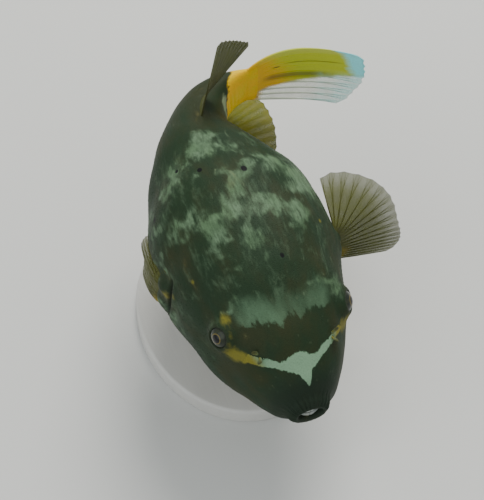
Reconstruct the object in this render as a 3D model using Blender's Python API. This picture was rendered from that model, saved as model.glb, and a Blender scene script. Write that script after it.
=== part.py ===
"""Blackspotted puffer, life size, swimming over a plain display stand. Metres, +Z up.

The fish faces -Y, its left side is +X, and the origin is the middle of the stand's underside. Its body is
worked out straight, from shares of its length, and then bent to its left along the spine and tilted."""

import math

import bmesh
import bpy
import numpy as np
from mathutils import Matrix, Vector

# Driving sizes
BODY_LENGTH = 0.215  # lips to the root of the tail fin
GAP = 0.0003  # between pieces that touch
PITCH = math.radians(4.0)  # head down
ROLL = math.radians(2.0)  # back towards the fish's left
PIVOT_SHARE = 0.52  # the place along the body that stands over the origin
AXIS_HEIGHT = 0.086  # of the body's axis there

# The straight body, as shares of its length: distance from the lips, half width, back above and belly below
STATIONS = (
    (0.000, 0.035, 0.026, 0.029),
    (0.010, 0.047, 0.039, 0.042),
    (0.022, 0.053, 0.047, 0.050),
    (0.042, 0.077, 0.079, 0.076),
    (0.075, 0.100, 0.107, 0.100),
    (0.130, 0.128, 0.146, 0.129),
    (0.200, 0.155, 0.181, 0.159),
    (0.290, 0.186, 0.207, 0.188),
    (0.400, 0.212, 0.222, 0.209),
    (0.510, 0.209, 0.217, 0.205),
    (0.630, 0.166, 0.188, 0.168),
    (0.740, 0.109, 0.146, 0.112),
    (0.830, 0.069, 0.108, 0.074),
    (0.920, 0.039, 0.084, 0.055),
    (1.000, 0.014, 0.075, 0.047),
)
ROUNDNESS = 2.25  # exponent of the cross-sections, a little squarer than an ellipse's 2
# Where the spine turns: share of the length, and degrees towards the fish's left
BEND = ((0.0, 0.0), (0.45, 0.0), (0.62, -4.0), (0.78, 18.0), (0.90, 60.0), (1.0, 92.0))
SPINE_STEPS = 600
# Swellings of the skin: share of the length, degrees round from the back, reach and height as shares.
# All but those on the midline are on both sides.
SWELLINGS = (
    (0.203, 59.0, 0.060, 0.012),  # round the eye
    (0.225, 104.0, 0.085, 0.009),  # cheek
    (0.185, 0.0, 0.050, -0.005),  # hollow between the eyes
    (0.050, 180.0, 0.040, 0.004),  # chin
    (0.402, 84.0, 0.026, 0.010),  # shoulder of the pectoral fin, its upper half
    (0.408, 100.0, 0.026, 0.010),  # and its lower half
)
NECK_SHARE = 0.345  # where the head ends
STALK_SHARE = 0.80  # where the stalk of the tail starts
COLUMNS = 48  # faces round the body
SHARP_ANGLE = math.radians(50)

# The mouth, as shares of the body's length
MOUTH_HALF_WIDTH = 0.029
MOUTH_HALF_HEIGHT = 0.0165
MOUTH_DEPTH = 0.045

# Beak, two plates each with a groove down its middle
BEAK_FRONT = 0.0012  # behind the lips
BEAK_THICKNESS = 0.0022
BEAK_BOW = 0.0024  # of its corners, backwards
BEAK_PARTING = 0.0004  # half of the slit between the plates
BEAK_GROOVE = 0.0003
BEAK_COLUMNS = 17

# Eyes and their lids
EYE_SHARE = 0.203
EYE_ANGLE = 61.0  # degrees round from the back
EYE_RADIUS = 0.0079
EYE_SUNK = 0.0046  # of its centre, below the skin
LID_RING = 0.0068
LID_THICKNESS = 0.0013
LID_LIFT = 0.0002
LID_FACES = (22, 6)

# Nostrils, each with two flaps
NOSTRIL_SHARE = 0.122
NOSTRIL_ANGLE = 42.0
NOSTRIL_HEIGHT = 0.0046
NOSTRIL_RADIUS = 0.0011
NOSTRIL_SPREAD = math.radians(30)

# Gill slits, bowed forward, in front of the pectoral fins
GILL_SHARE = 0.370
GILL_ANGLES = (70.0, 108.0)
GILL_RADIUS = 0.0013
GILL_BOW = 0.012

# Fins: half the thickness of a ray and of the membrane, at the root and at the tip
RAY_HALF = (0.00085, 0.00032)
MEMBRANE_HALF = (0.00042, 0.00026)
ROOT_SUNK = 0.003  # of a fin below the skin, before it is cut to the skin
SCALLOP = 0.018  # of the margin between two rays, as a share of their length

# Each fin's rays point as parts to the fish's left, backwards and up, for the first, middle and last ray
DORSAL = {
    "shares": (0.752, 0.828),
    "rays": 10,
    "length": 0.0405,
    "outline": (1.03, 1.00, 0.97),
    "ways": ((0.16, 0.48, 0.86), (0.40, 0.54, 0.74), (0.64, 0.50, 0.65)),
}
ANAL = {
    "shares": (0.778, 0.850),
    "rays": 10,
    "length": 0.051,
    "outline": (0.92, 1.00, 0.90),
    "ways": ((0.88, 0.42, -0.20), (0.70, 0.70, -0.16), (0.44, 0.88, -0.12)),
}
PECTORAL_SHARES = (0.398, 0.412)
PECTORAL_ANGLES = (73.0, 108.0)
PECTORAL_RAYS = 17
PECTORAL_LENGTH = 0.038
PECTORAL_OUTLINE = (0.84, 1.00, 0.94)
PECTORAL_RIPPLE = 0.0012
# The left one bends round a wide gap, so it is parted beside a ray: the share of its rays above, and the slit
PECTORAL_PARTING = 0.25
PECTORAL_SLIT = 0.016
PECTORAL_SLIT_TAPER = 0.7  # its loss to the tips, as the rays spread
PECTORAL_UPPER_RAYS = 5
PECTORAL_LOWER_RAYS = 13
# These point outwards from the fish's own side, backwards and up
PECTORAL_LEFT_WAYS = ((0.10, 0.97, 0.12), (1.36, -0.05, 0.05), (0.95, -0.10, -0.14))
PECTORAL_RIGHT_WAYS = ((0.08, 0.96, -0.22), (0.10, 0.90, -0.42), (0.10, 0.70, -0.68))
PECTORAL_RIGHT_BOW = 0.006  # of the tips of its rays, towards the flank
TAIL_RAYS = 10
TAIL_LENGTH = 0.062
TAIL_TURN = math.radians(32)  # from its root to its tip, towards the fish's left
TAIL_LEAN = math.radians(4)  # of its upper edge towards the fish's left
TAIL_ROOT = (0.0158, -0.0092)  # heights of the first and last ray
TAIL_TIP = (0.0315, -0.0145)
TAIL_RISE = 4  # how fast the rays reach those heights
TAIL_OUTLINE = (0.95, 1.00, 0.86)
TAIL_SWELL = (0.0017, 0.10)  # fleshy root: how much thicker, and the share of the length in which it thins

# The display stand
BASE_LENGTH = 0.128
BASE_WIDTH = 0.100
BASE_THICKNESS = 0.010
BASE_BEVEL = 0.002
BASE_FACES = 64
ROD_RADIUS = 0.003
ROD_SHARES = (0.38, 0.66)
ROD_FACES = 20
COLLAR_RADIUS = 0.0075
COLLAR_HEIGHT = 0.0022


# Curves and places


def smooth(points, at):
    """A smooth curve through points, each (where, value), that never overshoots them."""
    where = np.array([point[0] for point in points], float)
    value = np.array([point[1] for point in points], float)
    step = np.diff(where)
    slope = np.diff(value) / step
    tangent = np.zeros_like(value)
    tangent[0], tangent[-1] = slope[0], slope[-1]
    for i in range(1, len(where) - 1):
        if slope[i - 1] * slope[i] > 0:
            before = 2 * step[i] + step[i - 1]
            after = step[i] + 2 * step[i - 1]
            tangent[i] = (before + after) / (before / slope[i - 1] + after / slope[i])
    at = np.asarray(at, float)
    i = np.clip(np.searchsorted(where, at) - 1, 0, len(where) - 2)
    t = (at - where[i]) / step[i]
    return (
        (1 + 2 * t) * (1 - t) ** 2 * value[i]
        + t * (1 - t) ** 2 * step[i] * tangent[i]
        + t * t * (3 - 2 * t) * value[i + 1]
        + t * t * (t - 1) * step[i] * tangent[i + 1]
    )


def spine_table():
    """The spine from above: shares, x, y and heading, with the pivot at x, y = 0."""
    share = np.linspace(0, 1, SPINE_STEPS + 1)
    heading = np.radians(smooth(BEND, share))
    middle = (heading[1:] + heading[:-1]) / 2
    step = BODY_LENGTH / SPINE_STEPS
    x = np.concatenate([[0], np.cumsum(np.sin(middle) * step)])
    y = np.concatenate([[0], np.cumsum(np.cos(middle) * step)])
    x -= np.interp(PIVOT_SHARE, share, x)
    y -= np.interp(PIVOT_SHARE, share, y)
    return share, x, y, heading


SPINE = spine_table()
TILT = np.array(Matrix.Rotation(PITCH, 3, "X") @ Matrix.Rotation(ROLL, 3, "Y"))
LIFT = np.array((0, 0, AXIS_HEIGHT))


def placed(share, side, up):
    """World points from the share of the length and the metres to the left of and above the spine."""
    shares, x, y, heading = SPINE
    share = np.asarray(share, float)
    turn = np.interp(share, shares, heading)
    beyond = (share - np.clip(share, 0, 1)) * BODY_LENGTH
    px = np.interp(share, shares, x) + beyond * np.sin(turn) + np.cos(turn) * side
    py = np.interp(share, shares, y) + beyond * np.cos(turn) - np.sin(turn) * side
    return np.stack([px, py, up + 0 * px], -1) @ TILT.T + LIFT


def axes_at(share):
    """The world directions to the left, backwards and up at a place along the body."""
    turn = np.interp(share, SPINE[0], SPINE[3])
    left = TILT @ np.array([math.cos(turn), -math.sin(turn), 0.0])
    back = TILT @ np.array([math.sin(turn), math.cos(turn), 0.0])
    return left, back, TILT @ np.array([0.0, 0.0, 1.0])


def plain_section(share, angle):
    """The straight body without its swellings: left, back and up in metres. Angles start at the back."""
    width, top, bottom = (smooth([(s[0], s[k]) for s in STATIONS], share) * BODY_LENGTH for k in (1, 2, 3))
    power = 2 / ROUNDNESS
    side = width * np.sign(np.sin(angle)) * np.abs(np.sin(angle)) ** power
    height = np.where(np.cos(angle) > 0, top, -bottom)
    up = height * np.abs(np.cos(angle)) ** power
    return np.stack([side, np.asarray(share, float) * BODY_LENGTH + 0 * side, up], -1)


def straight_skin(share, angle, grow=0.0):
    """The skin of the straight body, with its swellings, pushed out by grow."""
    share, angle = np.broadcast_arrays(np.asarray(share, float), np.asarray(angle, float))
    small = 0.002
    point = plain_section(share, angle)
    along = plain_section(np.minimum(share + small, 1), angle)
    along = along - plain_section(np.maximum(share - small, 0), angle)
    around = plain_section(share, angle + small) - plain_section(share, angle - small)
    normal = np.cross(around, along)
    normal /= np.linalg.norm(normal, axis=-1, keepdims=True)
    lift = np.full(share.shape, grow)
    for centre_share, degrees, reach, height in SWELLINGS:
        for sign in (1, -1) if 0 < degrees < 180 else (1,):
            centre = plain_section(np.array(centre_share), np.array(math.radians(degrees) * sign))
            distance = np.linalg.norm(point - centre, axis=-1) / (reach * BODY_LENGTH)
            lift = lift + height * BODY_LENGTH * np.exp(-distance * distance)
    return point + normal * lift[..., None]


def skin(share, angle, grow=0.0):
    """World points of the fish's skin."""
    point = straight_skin(share, angle, grow)
    return placed(point[..., 1] / BODY_LENGTH, point[..., 0], point[..., 2])


# Mesh helpers


def material(name, colour, roughness, metallic=0.0):
    made = bpy.data.materials.new(name)
    made.use_nodes = True
    shader = made.node_tree.nodes["Principled BSDF"]
    shader.inputs["Base Color"].default_value = (*colour, 1)
    shader.inputs["Roughness"].default_value = roughness
    shader.inputs["Metallic"].default_value = metallic
    return made


def add_object(name, mesh, look):
    made = bpy.data.objects.new(name, mesh)
    bpy.context.scene.collection.objects.link(made)
    if look:
        mesh.materials.append(look)
    return made


def from_bmesh(name, work, look):
    """An object from a closed bmesh, its faces pointing out, in triangles."""
    bmesh.ops.recalc_face_normals(work, faces=work.faces)
    if work.calc_volume(signed=True) < 0:
        bmesh.ops.reverse_faces(work, faces=work.faces)
    bmesh.ops.triangulate(work, faces=work.faces)
    mesh = bpy.data.meshes.new(name)
    work.to_mesh(mesh)
    work.free()
    mesh.shade_smooth()
    mesh.set_sharp_from_angle(angle=SHARP_ANGLE)
    return add_object(name, mesh, look)


def loft(name, rings, look=None, closed=False):
    """Rings of points joined into one body, which ends in a fan at each end, or closes on itself."""
    work = bmesh.new()
    rows = [[work.verts.new(point) for point in ring] for ring in rings]
    pairs = list(zip(rows, rows[1:])) + ([(rows[-1], rows[0])] if closed else [])
    for first, second in pairs:
        for j in range(len(first)):
            k = (j + 1) % len(first)
            work.faces.new((first[j], second[j], second[k], first[k]))
    for row in () if closed else (rows[0], rows[-1]):
        middle = work.verts.new(sum((vert.co for vert in row), Vector()) / len(row))
        for j in range(len(row)):
            work.faces.new((middle, row[j], row[(j + 1) % len(row)]))
    return from_bmesh(name, work, look)


def ball(name, centre, radius, look=None, segments=24, rings=14):
    work = bmesh.new()
    bmesh.ops.create_uvsphere(work, u_segments=segments, v_segments=rings, radius=radius)
    bmesh.ops.translate(work, verts=work.verts, vec=centre)
    return from_bmesh(name, work, look)


def tube(name, path, radii, across, sides=8):
    """A closed tube along path, with a wide and a thin radius at each point, wide along across."""
    rings = []
    for i, point in enumerate(path):
        along = Vector(path[min(i + 1, len(path) - 1)]) - Vector(path[max(i - 1, 0)])
        along.normalize()
        wide = Vector(across) - along * Vector(across).dot(along)
        wide.normalize()
        thin = along.cross(wide)
        turns = [2 * math.pi * j / sides for j in range(sides)]
        wide, thin = wide * radii[i][0], thin * radii[i][1]
        rings.append([Vector(point) + wide * math.cos(t) + thin * math.sin(t) for t in turns])
    return loft(name, rings)


def keep_largest(made):
    """Leaves only the largest closed surface of an object."""
    work = bmesh.new()
    work.from_mesh(made.data)
    bmesh.ops.triangulate(work, faces=work.faces)
    left = set(work.faces)
    groups = []
    while left:
        front = [left.pop()]
        group = []
        while front:
            face = front.pop()
            group.append(face)
            near = {other for edge in face.edges for other in edge.link_faces} & left
            left -= near
            front += near
        groups.append(group)

    def volume(group):
        return abs(sum(f.verts[0].co.dot(f.verts[1].co.cross(f.verts[2].co)) for f in group))

    groups.sort(key=volume)
    for group in groups[:-1]:
        bmesh.ops.delete(work, geom=group, context="FACES")
    work.to_mesh(made.data)
    work.free()


def combine(made, others, operation):
    """One Boolean of an object with a collection of closed ones, which are then removed."""
    operands = bpy.data.collections.new("operands")
    bpy.context.scene.collection.children.link(operands)
    for other in others:
        bpy.context.scene.collection.objects.unlink(other)
        operands.objects.link(other)
    boolean = made.modifiers.new("Boolean", "BOOLEAN")
    boolean.operation = operation
    boolean.operand_type = "COLLECTION"
    boolean.collection = operands
    boolean.solver = "EXACT"
    graph = bpy.context.evaluated_depsgraph_get()
    result = bpy.data.meshes.new_from_object(made.evaluated_get(graph))
    made.modifiers.remove(boolean)
    made.data = result
    for other in others:
        bpy.data.objects.remove(other)
    bpy.data.collections.remove(operands)
    keep_largest(made)


# Body


def body_rings(shares, grow=0.0):
    angles = np.linspace(0, 2 * math.pi, COLUMNS, endpoint=False)
    return [skin(share, angles, grow) for share in shares]


def mouth_rings():
    """Rings from the bottom of the mouth out to the crest of the lips."""
    angles = np.linspace(0, 2 * math.pi, COLUMNS, endpoint=False)
    crest = plain_section(0.0, angles)
    rings = []
    for share, spread in ((MOUTH_DEPTH, 0.0), (0.014, 0.0), (0.004, 0.15), (0.0006, 0.55)):
        side = MOUTH_HALF_WIDTH * BODY_LENGTH * np.sin(angles)
        up = MOUTH_HALF_HEIGHT * BODY_LENGTH * np.cos(angles)
        side += (crest[:, 0] - side) * spread
        up += (crest[:, 2] - up) * spread
        rings.append(placed(share, side, up))
    return rings


def eye_frame(sign):
    """The skin's point over an eye, and the directions outwards, forwards and square to both."""
    angle = math.radians(EYE_ANGLE) * sign
    point = Vector(skin(EYE_SHARE, angle))
    outward = (Vector(skin(EYE_SHARE, angle, 0.001)) - point).normalized()
    forward = Vector(skin(EYE_SHARE - 0.01, angle)) - point
    forward = (forward - outward * forward.dot(outward)).normalized()
    return point, outward, forward, outward.cross(forward)


def make_lid(sign):
    """A fold of skin all round the eye."""
    centre, outward, forward, third = eye_frame(sign)
    around, across = LID_FACES
    rings = []
    for i in range(around):
        turn = 2 * math.pi * i / around
        out = forward * math.cos(turn) + third * math.sin(turn)
        middle = centre + outward * LID_LIFT + out * LID_RING
        rolls = [2 * math.pi * j / across for j in range(across)]
        rings.append([middle + (out * math.cos(r) + outward * math.sin(r)) * LID_THICKNESS for r in rolls])
    return loft("lid", rings, closed=True)


def make_nostril(sign):
    """The two fleshy flaps of a nostril, as two lobes from one root."""
    angle = math.radians(NOSTRIL_ANGLE) * sign
    root = Vector(skin(NOSTRIL_SHARE, angle))
    outward = (Vector(skin(NOSTRIL_SHARE, angle, 0.001)) - root).normalized()
    ahead = Vector(skin(NOSTRIL_SHARE - 0.02, angle)) - root
    ahead = (ahead - outward * ahead.dot(outward)).normalized()
    sunk = 0.002
    radii = [(NOSTRIL_RADIUS * wide, NOSTRIL_RADIUS * thin) for wide, thin in
             ((1.1, 1.0), (1.0, 0.8), (1.35, 0.62), (1.1, 0.5), (0.45, 0.25))]
    lobes = []
    for tilt in (NOSTRIL_SPREAD, -NOSTRIL_SPREAD):
        way = outward * math.cos(tilt) + ahead * math.sin(tilt)
        path = [root - outward * sunk + way * (sunk + NOSTRIL_HEIGHT) * t for t in (0, 0.35, 0.65, 0.88, 1.0)]
        lobes.append(tube("nostril lobe", path, radii, outward.cross(ahead)))
    return lobes


def make_gill_cutter(sign):
    """A crescent that cuts the gill slit into the skin."""
    degrees = np.linspace(*GILL_ANGLES, 9)
    span = GILL_ANGLES[1] - GILL_ANGLES[0]
    bow = 1 - ((degrees - sum(GILL_ANGLES) / 2) / span * 2) ** 2
    path = skin(GILL_SHARE + GILL_BOW * (1 - bow), np.radians(degrees) * sign, GAP)
    radii = [(2 * GILL_RADIUS * size, GILL_RADIUS * size) for size in 0.35 + 0.65 * np.sqrt(bow)]
    return tube("gill cutter", path, radii, axes_at(GILL_SHARE)[0] * sign)


def make_head(look):
    half_gap = GAP / 2 / BODY_LENGTH
    shares = [0.0, 0.005, 0.010, 0.016, 0.022, 0.031, 0.042, 0.057, 0.075]
    shares += [*np.linspace(0.096, 0.26, 12), 0.285, 0.315, NECK_SHARE - half_gap]
    head = loft("head", mouth_rings() + body_rings(shares), look)
    combine(head, [make_lid(1), make_lid(-1), *make_nostril(1), *make_nostril(-1)], "UNION")
    sockets = []
    for sign in (1, -1):
        centre, outward, _, _ = eye_frame(sign)
        sockets.append(ball("socket", centre - outward * EYE_SUNK, EYE_RADIUS + GAP))
    combine(head, sockets, "DIFFERENCE")


def make_torso(look):
    half_gap = GAP / 2 / BODY_LENGTH
    shares = [*np.linspace(NECK_SHARE + half_gap, 0.46, 8), *np.linspace(0.48, STALK_SHARE - half_gap, 12)]
    torso = loft("torso", body_rings(shares), look)
    combine(torso, [make_gill_cutter(1), make_gill_cutter(-1)], "DIFFERENCE")


def make_tail_stalk(look):
    loft("tail_stalk", body_rings(np.linspace(STALK_SHARE + GAP / 2 / BODY_LENGTH, 1.0, 11)), look)


def make_eye(name, sign, look):
    centre, outward, _, _ = eye_frame(sign)
    ball(name, centre - outward * EYE_SUNK, EYE_RADIUS, look)


def make_beak_plate(name, sign, look):
    """A curved plate standing in the mouth, sign 1 for the upper one."""
    half_width = MOUTH_HALF_WIDTH * BODY_LENGTH - GAP
    half_height = MOUTH_HALF_HEIGHT * BODY_LENGTH - GAP
    rings = []
    for t in np.linspace(-0.93, 0.93, BEAK_COLUMNS):
        groove = BEAK_GROOVE * math.exp(-((t / 0.09) ** 2))
        front = BEAK_FRONT + BEAK_BOW * t * t + groove
        rear = BEAK_FRONT + BEAK_BOW * t * t + BEAK_THICKNESS
        edge = BEAK_PARTING * (1 + abs(t)) + groove
        wall = max(half_height * math.sqrt(1 - t * t) - GAP / 2, edge + GAP)
        middle = (wall + edge) / 2
        outline = ((front, wall), (front - GAP, middle), (front, edge))
        outline += ((front + GAP, edge), (rear, middle), (rear, wall))
        rings.append([placed(along / BODY_LENGTH, half_width * t, sign * up) for along, up in outline])
    loft(name, rings, look)


# Fins


def make_fin(name, path, rays, rows, look, swell=(0.0, 1.0)):
    """A fin from path(u, v), where u runs from the first ray to the last and v from its root to its tip.

    Every other column is a ray, raised on both faces, and the columns between are membrane. Both faces are
    split into triangles alike."""
    columns = 2 * rays - 1
    along = np.linspace(0, 1, rows) ** 1.2
    grid = np.array(
        [[path(j / (columns - 1), v * (1 - SCALLOP * (j % 2) * v)) for j in range(columns)] for v in along]
    )
    normal = np.cross(np.gradient(grid, axis=1), np.gradient(grid, axis=0))
    normal /= np.linalg.norm(normal, axis=-1, keepdims=True)
    fleshy = swell[0] * np.exp(-along / swell[1])
    ray, web = (np.interp(along, (0, 1), half) + fleshy for half in (RAY_HALF, MEMBRANE_HALF))
    half = np.where(np.arange(columns) % 2 == 0, ray[:, None], web[:, None])[..., None]
    work = bmesh.new()
    near = [[work.verts.new(point) for point in row] for row in grid + normal * half]
    far = [[work.verts.new(point) for point in row] for row in grid - normal * half]
    for i in range(rows - 1):
        for j in range(columns - 1):
            for face in (near, far):
                a, b, c, d = face[i][j], face[i][j + 1], face[i + 1][j + 1], face[i + 1][j]
                for corners in ((a, b, c), (a, c, d)) if j % 2 == 0 else ((a, b, d), (b, c, d)):
                    work.faces.new(corners)
    rim = [(0, j) for j in range(columns - 1)] + [(i, columns - 1) for i in range(rows - 1)]
    rim += [(rows - 1, j) for j in range(columns - 1, 0, -1)] + [(i, 0) for i in range(rows - 1, 0, -1)]
    for (i, j), (k, m) in zip(rim, rim[1:] + rim[:1]):
        work.faces.new((near[i][j], near[k][m], far[i][j]))
        work.faces.new((near[k][m], far[k][m], far[i][j]))
    return from_bmesh(name, work, look)


def cut_to_skin(made, first, last, rings):
    """Takes away what lies inside the body between two shares of its length, and leaves the gap."""
    combine(made, [loft("body cutter", body_rings(np.linspace(first, last, rings), GAP))], "DIFFERENCE")


def mixed(values, u):
    """A smooth blend of three values, the first at u = 0 and the last at u = 1."""
    first, middle, last = (np.asarray(value, float) for value in values)
    return first * (1 - u) ** 2 + middle * 2 * u * (1 - u) + last * u * u


def ray_length(outline, u):
    """The share of the longest ray's length, through the outline's first, middle and last ray."""
    return float(smooth(((0, outline[0]), (0.45, outline[1]), (1, outline[2])), u))


def make_midline_fin(name, sizes, angle, look):
    """The dorsal fin, at angle 0, or the anal fin, at 180 degrees."""
    first, last = sizes["shares"]
    axes = np.array(axes_at((first + last) / 2))

    def path(u, v):
        root = skin(first + (last - first) * u, angle)
        way = mixed(sizes["ways"], u) @ axes
        way /= np.linalg.norm(way)
        return root + way * (-ROOT_SUNK + (sizes["length"] * ray_length(sizes["outline"], u) + ROOT_SUNK) * v)

    fin = make_fin(name, path, sizes["rays"], 8, look)
    cut_to_skin(fin, first - 0.08, last + 0.08, 13)


def make_pectoral_fin(name, sign, ways, look, first=0.0, last=1.0, rays=PECTORAL_RAYS, bow=0.0):
    """A pectoral fin, or the part of it between two shares of its rays, its tips bent inwards by bow."""
    left, back, up = axes_at(PECTORAL_SHARES[0])
    axes = np.array((left * sign, back, up))
    ripple_way = (up + back) / math.sqrt(2)

    def path(part, v):
        slit = PECTORAL_SLIT / 2 * (1 - PECTORAL_SLIT_TAPER * v)
        low, high = first + slit * (first > 0), last - slit * (last < 1)
        u = low + (high - low) * part
        share = PECTORAL_SHARES[0] + (PECTORAL_SHARES[1] - PECTORAL_SHARES[0]) * u
        degrees = PECTORAL_ANGLES[0] + (PECTORAL_ANGLES[1] - PECTORAL_ANGLES[0]) * u
        root = skin(share, math.radians(degrees) * sign)
        way = mixed(ways, u) @ axes
        way /= np.linalg.norm(way)
        ripple = PECTORAL_RIPPLE * math.sin(2.5 * math.pi * u) * v * v
        length = PECTORAL_LENGTH * ray_length(PECTORAL_OUTLINE, u)
        ray = way * (-ROOT_SUNK + (length + ROOT_SUNK) * v)
        return root + ray + ripple_way * ripple - left * sign * bow * v * v

    fin = make_fin(name, path, rays, 7, look)
    cut_to_skin(fin, 0.32, 0.62, 25)


def make_tail_fin(name, look):
    """The tail fin, whose rays follow an arc that carries on the bend of the spine."""
    left, back, up = axes_at(1.0)
    root = placed(1.0, 0.0, 0.0) + back * GAP

    def path(u, v):
        turn = TAIL_TURN * v
        reach = TAIL_LENGTH * ray_length(TAIL_OUTLINE, u)
        along = reach / TAIL_TURN * math.sin(turn)
        across = reach / TAIL_TURN * (1 - math.cos(turn))
        low = TAIL_ROOT[0] + (TAIL_ROOT[1] - TAIL_ROOT[0]) * u
        height = low + (TAIL_TIP[0] + (TAIL_TIP[1] - TAIL_TIP[0]) * u - low) * (1 - (1 - v) ** TAIL_RISE)
        lean = TAIL_LEAN * v
        return root + back * along + left * (across + math.sin(lean) * height) + up * math.cos(lean) * height

    make_fin(name, path, TAIL_RAYS, 11, look, TAIL_SWELL)


# Stand


def make_base(look):
    """An oval plate with rounded edges, its underside at the floor."""
    work = bmesh.new()
    bmesh.ops.create_circle(work, cap_ends=True, segments=BASE_FACES, radius=1)
    bmesh.ops.scale(work, vec=(BASE_WIDTH / 2, BASE_LENGTH / 2, 1), verts=work.verts)
    top = bmesh.ops.extrude_face_region(work, geom=work.faces[:])["geom"]
    lifted = [item for item in top if isinstance(item, bmesh.types.BMVert)]
    bmesh.ops.translate(work, vec=(0, 0, BASE_THICKNESS), verts=lifted)
    rims = [edge for edge in work.edges if len({round(vert.co.z, 5) for vert in edge.verts}) == 1]
    bmesh.ops.bevel(
        work, geom=rims, offset=BASE_BEVEL, segments=3, profile=0.5, affect="EDGES", clamp_overlap=True
    )
    from_bmesh("stand_base", work, look)


def make_rod(name, share, look):
    """A rod with a collar on the base, cut to the fish's belly."""
    belly = skin(share, math.pi)
    foot = BASE_THICKNESS + GAP
    profile = (
        (COLLAR_RADIUS, foot),
        (COLLAR_RADIUS, foot + COLLAR_HEIGHT * 0.7),
        (COLLAR_RADIUS * 0.85, foot + COLLAR_HEIGHT),
        (ROD_RADIUS, foot + COLLAR_HEIGHT),
        (ROD_RADIUS, float(belly[2]) + 0.012),
    )
    turns = np.linspace(0, 2 * math.pi, ROD_FACES, endpoint=False)
    rings = [
        [(belly[0] + radius * math.cos(turn), belly[1] + radius * math.sin(turn), z) for turn in turns]
        for radius, z in profile
    ]
    rod = loft(name, rings, look)
    cut_to_skin(rod, share - 0.1, share + 0.1, 13)


def main():
    for old in list(bpy.data.objects):
        bpy.data.objects.remove(old)
    flesh = material("dark olive skin", (0.028, 0.034, 0.022), 0.55)
    stalk_skin = material("orange skin", (0.60, 0.27, 0.02), 0.5)
    web = material("brown fin", (0.10, 0.09, 0.045), 0.5)
    anal_web = material("olive yellow fin", (0.33, 0.30, 0.10), 0.5)
    tail_web = material("yellow fin", (0.48, 0.40, 0.03), 0.45)
    eyeball = material("dark eye", (0.015, 0.02, 0.024), 0.1)
    tooth = material("tooth", (0.72, 0.72, 0.66), 0.3)
    paint = material("warm grey paint", (0.55, 0.53, 0.50), 0.6)
    steel = material("steel rod", (0.60, 0.60, 0.62), 0.3, 1.0)

    make_head(flesh)
    make_torso(flesh)
    make_tail_stalk(stalk_skin)
    make_eye("eye_left", 1, eyeball)
    make_eye("eye_right", -1, eyeball)
    make_beak_plate("upper_beak", 1, tooth)
    make_beak_plate("lower_beak", -1, tooth)
    make_midline_fin("dorsal_fin", DORSAL, 0.0, web)
    make_midline_fin("anal_fin", ANAL, math.pi, anal_web)
    parting, upper_rays, lower_rays = PECTORAL_PARTING, PECTORAL_UPPER_RAYS, PECTORAL_LOWER_RAYS
    make_pectoral_fin("pectoral_fin_left_upper", 1, PECTORAL_LEFT_WAYS, web, 0.0, parting, upper_rays)
    make_pectoral_fin("pectoral_fin_left_lower", 1, PECTORAL_LEFT_WAYS, web, parting, 1.0, lower_rays)
    make_pectoral_fin("pectoral_fin_right", -1, PECTORAL_RIGHT_WAYS, web, bow=PECTORAL_RIGHT_BOW)
    make_tail_fin("tail_fin", tail_web)
    make_base(paint)
    make_rod("stand_rod_front", ROD_SHARES[0], steel)
    make_rod("stand_rod_rear", ROD_SHARES[1], steel)


main()
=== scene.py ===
"""Looks of a life-size blackspotted puffer, held still over a plain display stand. Metres, +Z up.

The fish faces -Y and its left side is +X. Its skin, fins, eyes and beak are worked out straight,
from shares of the body's length, then bent along the spine and tilted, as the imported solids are,
and they take their place.
The file is laid out as an add-on: settings, one operator for each group of pieces, and a panel."""

import math

import bpy
import numpy as np
from mathutils import Matrix, Vector


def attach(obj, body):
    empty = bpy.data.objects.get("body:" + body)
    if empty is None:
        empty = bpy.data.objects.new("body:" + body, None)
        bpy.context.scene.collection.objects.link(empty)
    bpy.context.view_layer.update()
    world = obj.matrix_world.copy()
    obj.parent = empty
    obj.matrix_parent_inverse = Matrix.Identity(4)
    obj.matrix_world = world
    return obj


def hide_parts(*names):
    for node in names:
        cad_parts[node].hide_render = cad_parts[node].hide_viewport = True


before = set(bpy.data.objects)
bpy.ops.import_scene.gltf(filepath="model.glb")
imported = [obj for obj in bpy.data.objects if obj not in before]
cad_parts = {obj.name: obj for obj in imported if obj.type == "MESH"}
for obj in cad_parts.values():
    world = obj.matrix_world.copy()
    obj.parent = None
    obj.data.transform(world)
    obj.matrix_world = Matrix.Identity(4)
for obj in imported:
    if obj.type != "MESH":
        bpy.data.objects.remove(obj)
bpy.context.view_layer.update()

bl_info = {
    "name": "Blackspotted Puffer Model",
    "version": (1, 0, 0),
    "blender": (4, 5, 0),
    "location": "3D View > Sidebar > Puffer",
    "description": "Builds the skin, fins, eyes, beak and stand of a museum model of a puffer",
    "category": "Add Mesh",
}

BODY = "root"  # the model has no joints, so every piece rides on this one

# The body, as in the solids
BODY_LENGTH = 0.215  # lips to the root of the tail fin
GAP = 0.0003  # between neighbouring solids
PITCH = math.radians(4.0)  # head down
ROLL = math.radians(2.0)  # back towards the fish's left
PIVOT_SHARE = 0.52  # the place along the body that stands over the origin
AXIS_HEIGHT = 0.086  # of the body's axis there

# The straight body, as shares of its length: distance from the lips, half width, back and belly
STATIONS = (
    (0.000, 0.035, 0.026, 0.029),
    (0.010, 0.047, 0.039, 0.042),
    (0.022, 0.053, 0.047, 0.050),
    (0.042, 0.077, 0.079, 0.076),
    (0.075, 0.100, 0.107, 0.100),
    (0.130, 0.128, 0.146, 0.129),
    (0.200, 0.155, 0.181, 0.159),
    (0.290, 0.186, 0.207, 0.188),
    (0.400, 0.212, 0.222, 0.209),
    (0.510, 0.209, 0.217, 0.205),
    (0.630, 0.166, 0.188, 0.168),
    (0.740, 0.109, 0.146, 0.112),
    (0.830, 0.069, 0.108, 0.074),
    (0.920, 0.039, 0.084, 0.055),
    (1.000, 0.014, 0.075, 0.047),
)
ROUNDNESS = 2.25  # exponent of the cross-sections, a little squarer than an ellipse's 2
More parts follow.
